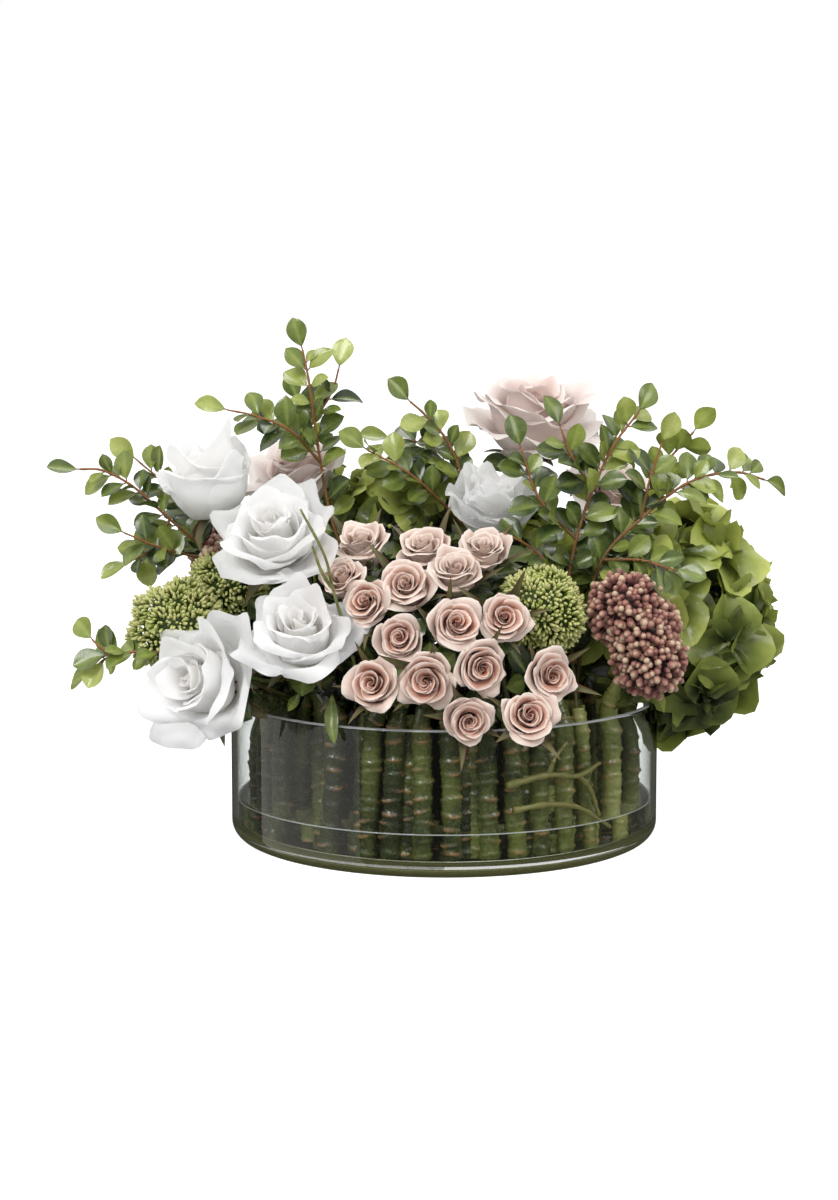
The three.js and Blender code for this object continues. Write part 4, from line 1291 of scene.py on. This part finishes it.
# ---- Bowl and resin ---------------------------------------------------------
def lathe(profile, name, materials, node, foot, lip):
    """Turns a closed (radius, height) outline about the Z axis. The second and third of the
    materials go below `foot` and above `lip`."""
    outline = profile[1:-1]
    rings = np.concatenate([ring_of(r, around(LATHE_SIDES), z) for r, z in outline])
    surface = Surface()
    surface.add(*capped(rings, LATHE_SIDES, [0, 0, profile[0][1]], [0, 0, profile[-1][1]]))
    piece = finished(surface, name, materials, node)
    bands = [1 if max(a[1], b[1]) < foot else 2 if min(a[1], b[1]) > lip else 0
             for a, b in zip(outline, outline[1:])]
    faces = np.concatenate([np.repeat(bands, LATHE_SIDES), np.full(2 * LATHE_SIDES, 1)])
    piece.data.polygons.foreach_set("material_index", faces.astype(np.int32))


def arc(cx, cz, radius, start, end, steps):
    angles = np.radians(np.linspace(start, end, steps))
    return [(cx + radius * math.cos(a), cz + radius * math.sin(a)) for a in angles]


def glass_material(name, colour, ior, roughness, clarity=1.0):
    """Glass that shadow and diffuse rays pass straight through, so that what it holds stays bright."""
    m = Nodes(name)
    ripple = m.noise(14, 2)
    m.set(Transmission_Weight=clarity, IOR=ior, Metallic=0.0)
    m.feed(m.shader.inputs["Roughness"], m.math("ADD", m.swing(ripple, 0.01), roughness))
    m.colour(m.ramp(ripple, [(0.3, colour), (0.7, tuple(min(255, c + 3) for c in colour))]))
    m.bump(m.noise(9, 1), 0.05, 0.0006)
    path = m.node("ShaderNodeLightPath")
    either = m.math("MAXIMUM", path.outputs["Is Shadow Ray"], path.outputs["Is Diffuse Ray"])
    m.show(m.fade(either, m.shader.outputs[0], m.node("ShaderNodeBsdfTransparent").outputs[0]))
    return m.owner


GLASS = glass_material("clear_glass", (246, 249, 248), 1.45, 0.0)
# Painted reflection: the foot's olive tint and cloudiness stand in for the stems' green reflection in the
# thick glass.
GLASS_FOOT = glass_material("glass_foot_painted_reflection", (124, 126, 80), 1.45, 0.06, 0.7)
# Painted highlight: the pale, frosted band at the rim and at the resin's water line stands in for the bright
# line their reflections give.
GLASS_RIM = glass_material("glass_rim_painted_highlight", (226, 230, 232), 1.45, 0.12, 0.55)
RESIN = glass_material("clear_resin", (240, 240, 226), 1.33, 0.0)
inner = BOWL_RADIUS - BOWL_WALL
rim = BOWL_WALL / 2
rim_z = BOWL_HEIGHT - rim
bend = 0.008
bowl = [(0.0, 0.0), (0.05, 0.0), (0.1, 0.0), (BOWL_RADIUS - HEEL_RADIUS, 0.0)]
bowl += arc(BOWL_RADIUS - HEEL_RADIUS, HEEL_RADIUS, HEEL_RADIUS, -90, 0, 10)[1:]
bowl += [(BOWL_RADIUS, z) for z in np.linspace(0.02, rim_z, 6)]
bowl += arc(BOWL_RADIUS - rim, rim_z, rim, 0, 180, 9)[1:]
bowl += [(inner, z) for z in np.linspace(rim_z, 0.018, 6)[1:]]
bowl += arc(inner - bend, BOWL_BASE + bend, bend, 0, -90, 8)
bowl += [(0.1, BOWL_BASE), (0.05, BOWL_BASE), (0.0, BOWL_BASE)]
lathe(bowl, "glass_bowl_wall", [GLASS, GLASS_FOOT, GLASS_RIM], "glass_bowl",
      foot=0.009, lip=BOWL_HEIGHT - 0.9 * rim)
wet = inner - RESIN_GAP
low = BOWL_BASE + RESIN_GAP
resin = [(0.0, low), (0.07, low)] + arc(wet - bend, low + bend, bend, -90, 0, 8)
resin += [(wet, 0.018), (wet, 0.024), (wet, RESIN_TOP + 0.0002), (wet, RESIN_TOP + 0.001)]
resin += [(wet - 0.0012, RESIN_TOP + 0.0002), (wet - 0.004, RESIN_TOP), (0.09, RESIN_TOP), (0.0, RESIN_TOP)]
# The band above the water line is a painted highlight.
lathe(resin, "resin_water_fill", [RESIN, RESIN, GLASS_RIM], "resin_water",
      foot=0.0, lip=RESIN_TOP + 0.0001)

# ---- Camera, light and floor ------------------------------------------------
camera = bpy.data.objects.new("camera", bpy.data.cameras.new("camera"))
bpy.context.scene.collection.objects.link(camera)
camera.data.sensor_width = 36.0
camera.data.lens = 75.9
camera.data.clip_start, camera.data.clip_end = 0.05, 50.0
camera.location = (-0.018, -1.790, 0.402)
camera.rotation_euler = (math.radians(90 - 7.44), 0.0, 0.0)
bpy.context.scene.camera = camera


def bounced(nodes, depth, first, second):
    """`second` once a ray has bounced that way, and `first` before."""
    return nodes.fade(nodes.node("ShaderNodeLightPath").outputs[depth], first, second)


def backdrop(strength):
    made = sky.node("ShaderNodeBackground", Color=(1.0, 1.0, 1.0, 1))
    sky.feed(made.inputs["Strength"], strength)
    return made.outputs[0]


# Reflections see a dim room under a bright ceiling.
sky = Nodes("studio", bpy.data.worlds)
compass = sky.node("ShaderNodeSeparateXYZ")
sky.feed(compass.inputs[0], sky.node("ShaderNodeTexCoord").outputs["Generated"])
ceiling = sky.node("ShaderNodeMapRange", interpolation_type="SMOOTHSTEP")
for socket, value in (("From Min", 0.04), ("From Max", 0.5), ("To Min", 0.05), ("To Max", 0.8)):
    sky.feed(ceiling.inputs[socket], value)
sky.feed(ceiling.inputs["Value"], compass.outputs["Z"])
room = bounced(sky, "Glossy Depth", backdrop(1.0), backdrop(ceiling.outputs["Result"]))
sky.show(bounced(sky, "Diffuse Depth", room, backdrop(0.75)))
bpy.context.scene.world = sky.owner
bpy.context.scene.view_settings.view_transform = "Standard"


def soft_light(name, place, size, power):
    """A round lamp that looks at the bouquet's middle."""
    lamp = bpy.data.lights.new(name, "AREA")
    lamp.shape, lamp.size, lamp.energy = "DISK", size, power
    lamp_object = bpy.data.objects.new(name, lamp)
    lamp_object.location = place
    lamp_object.rotation_euler = (Vector((0, 0, 0.15)) - Vector(place)).to_track_quat("-Z", "Y").to_euler()
    bpy.context.scene.collection.objects.link(lamp_object)


soft_light("key", (-0.9, -1.5, 1.8), size=1.1, power=28)
soft_light("fill", (1.4, -1.1, 1.2), size=1.0, power=9)
soft_light("crown", (0.2, 0.9, 1.9), size=0.8, power=6)

# A paper floor that lights what stands on it less than it shows.
FLOOR_REACH = 14
floor = Surface()
xs = np.linspace(-FLOOR_REACH, FLOOR_REACH, 15)
floor.add_sheet(np.stack(np.broadcast_arrays(xs[None, :], xs[:, None], 0.0), -1))
paper = Nodes("floor_paper")
paper.colour(paper.ramp(paper.noise(3), [(0.3, (200, 200, 200)), (0.7, (203, 203, 203))]))
paper.set(Roughness=0.9, Emission_Color=(1.0, 1.0, 1.0, 1.0), Emission_Strength=0.8)
showing = paper.shader.outputs[0]
for depth, tint, strength in (
    ("Glossy Depth", (0.8, 0.82, 0.6, 1), 0.12),
    ("Diffuse Depth", (1, 1, 1, 1), 0.42),
):
    dimmed = paper.node("ShaderNodeEmission", Color=tint, Strength=strength)
    showing = bounced(paper, depth, showing, dimmed.outputs[0])
paper.show(showing)
floor_piece = floor.build("floor", [paper.owner])
floor_piece.visible_glossy = False

# A dim upright panel, seen only in reflections, that veils the left front of the bowl.
PANEL_RADIUS = 2.2
panel = Surface()
turns = np.radians(np.linspace(-112, -44, 9))
bottom_and_top = np.array([[-1.6], [0.4]])
panel.add_sheet(ring_of(PANEL_RADIUS, turns - math.pi / 2, bottom_and_top))
card = Nodes("veil_card")
card.colour(card.ramp(card.noise(1.5), [(0.3, (90, 90, 88)), (0.7, (96, 96, 94))]))
card.set(Roughness=0.9, Emission_Color=(1.0, 0.98, 0.9, 1.0), Emission_Strength=0.95)
panel_piece = panel.build("veil_panel", [card.owner])
for ray in ("camera", "diffuse", "transmission", "shadow"):
    setattr(panel_piece, "visible_" + ray, False)
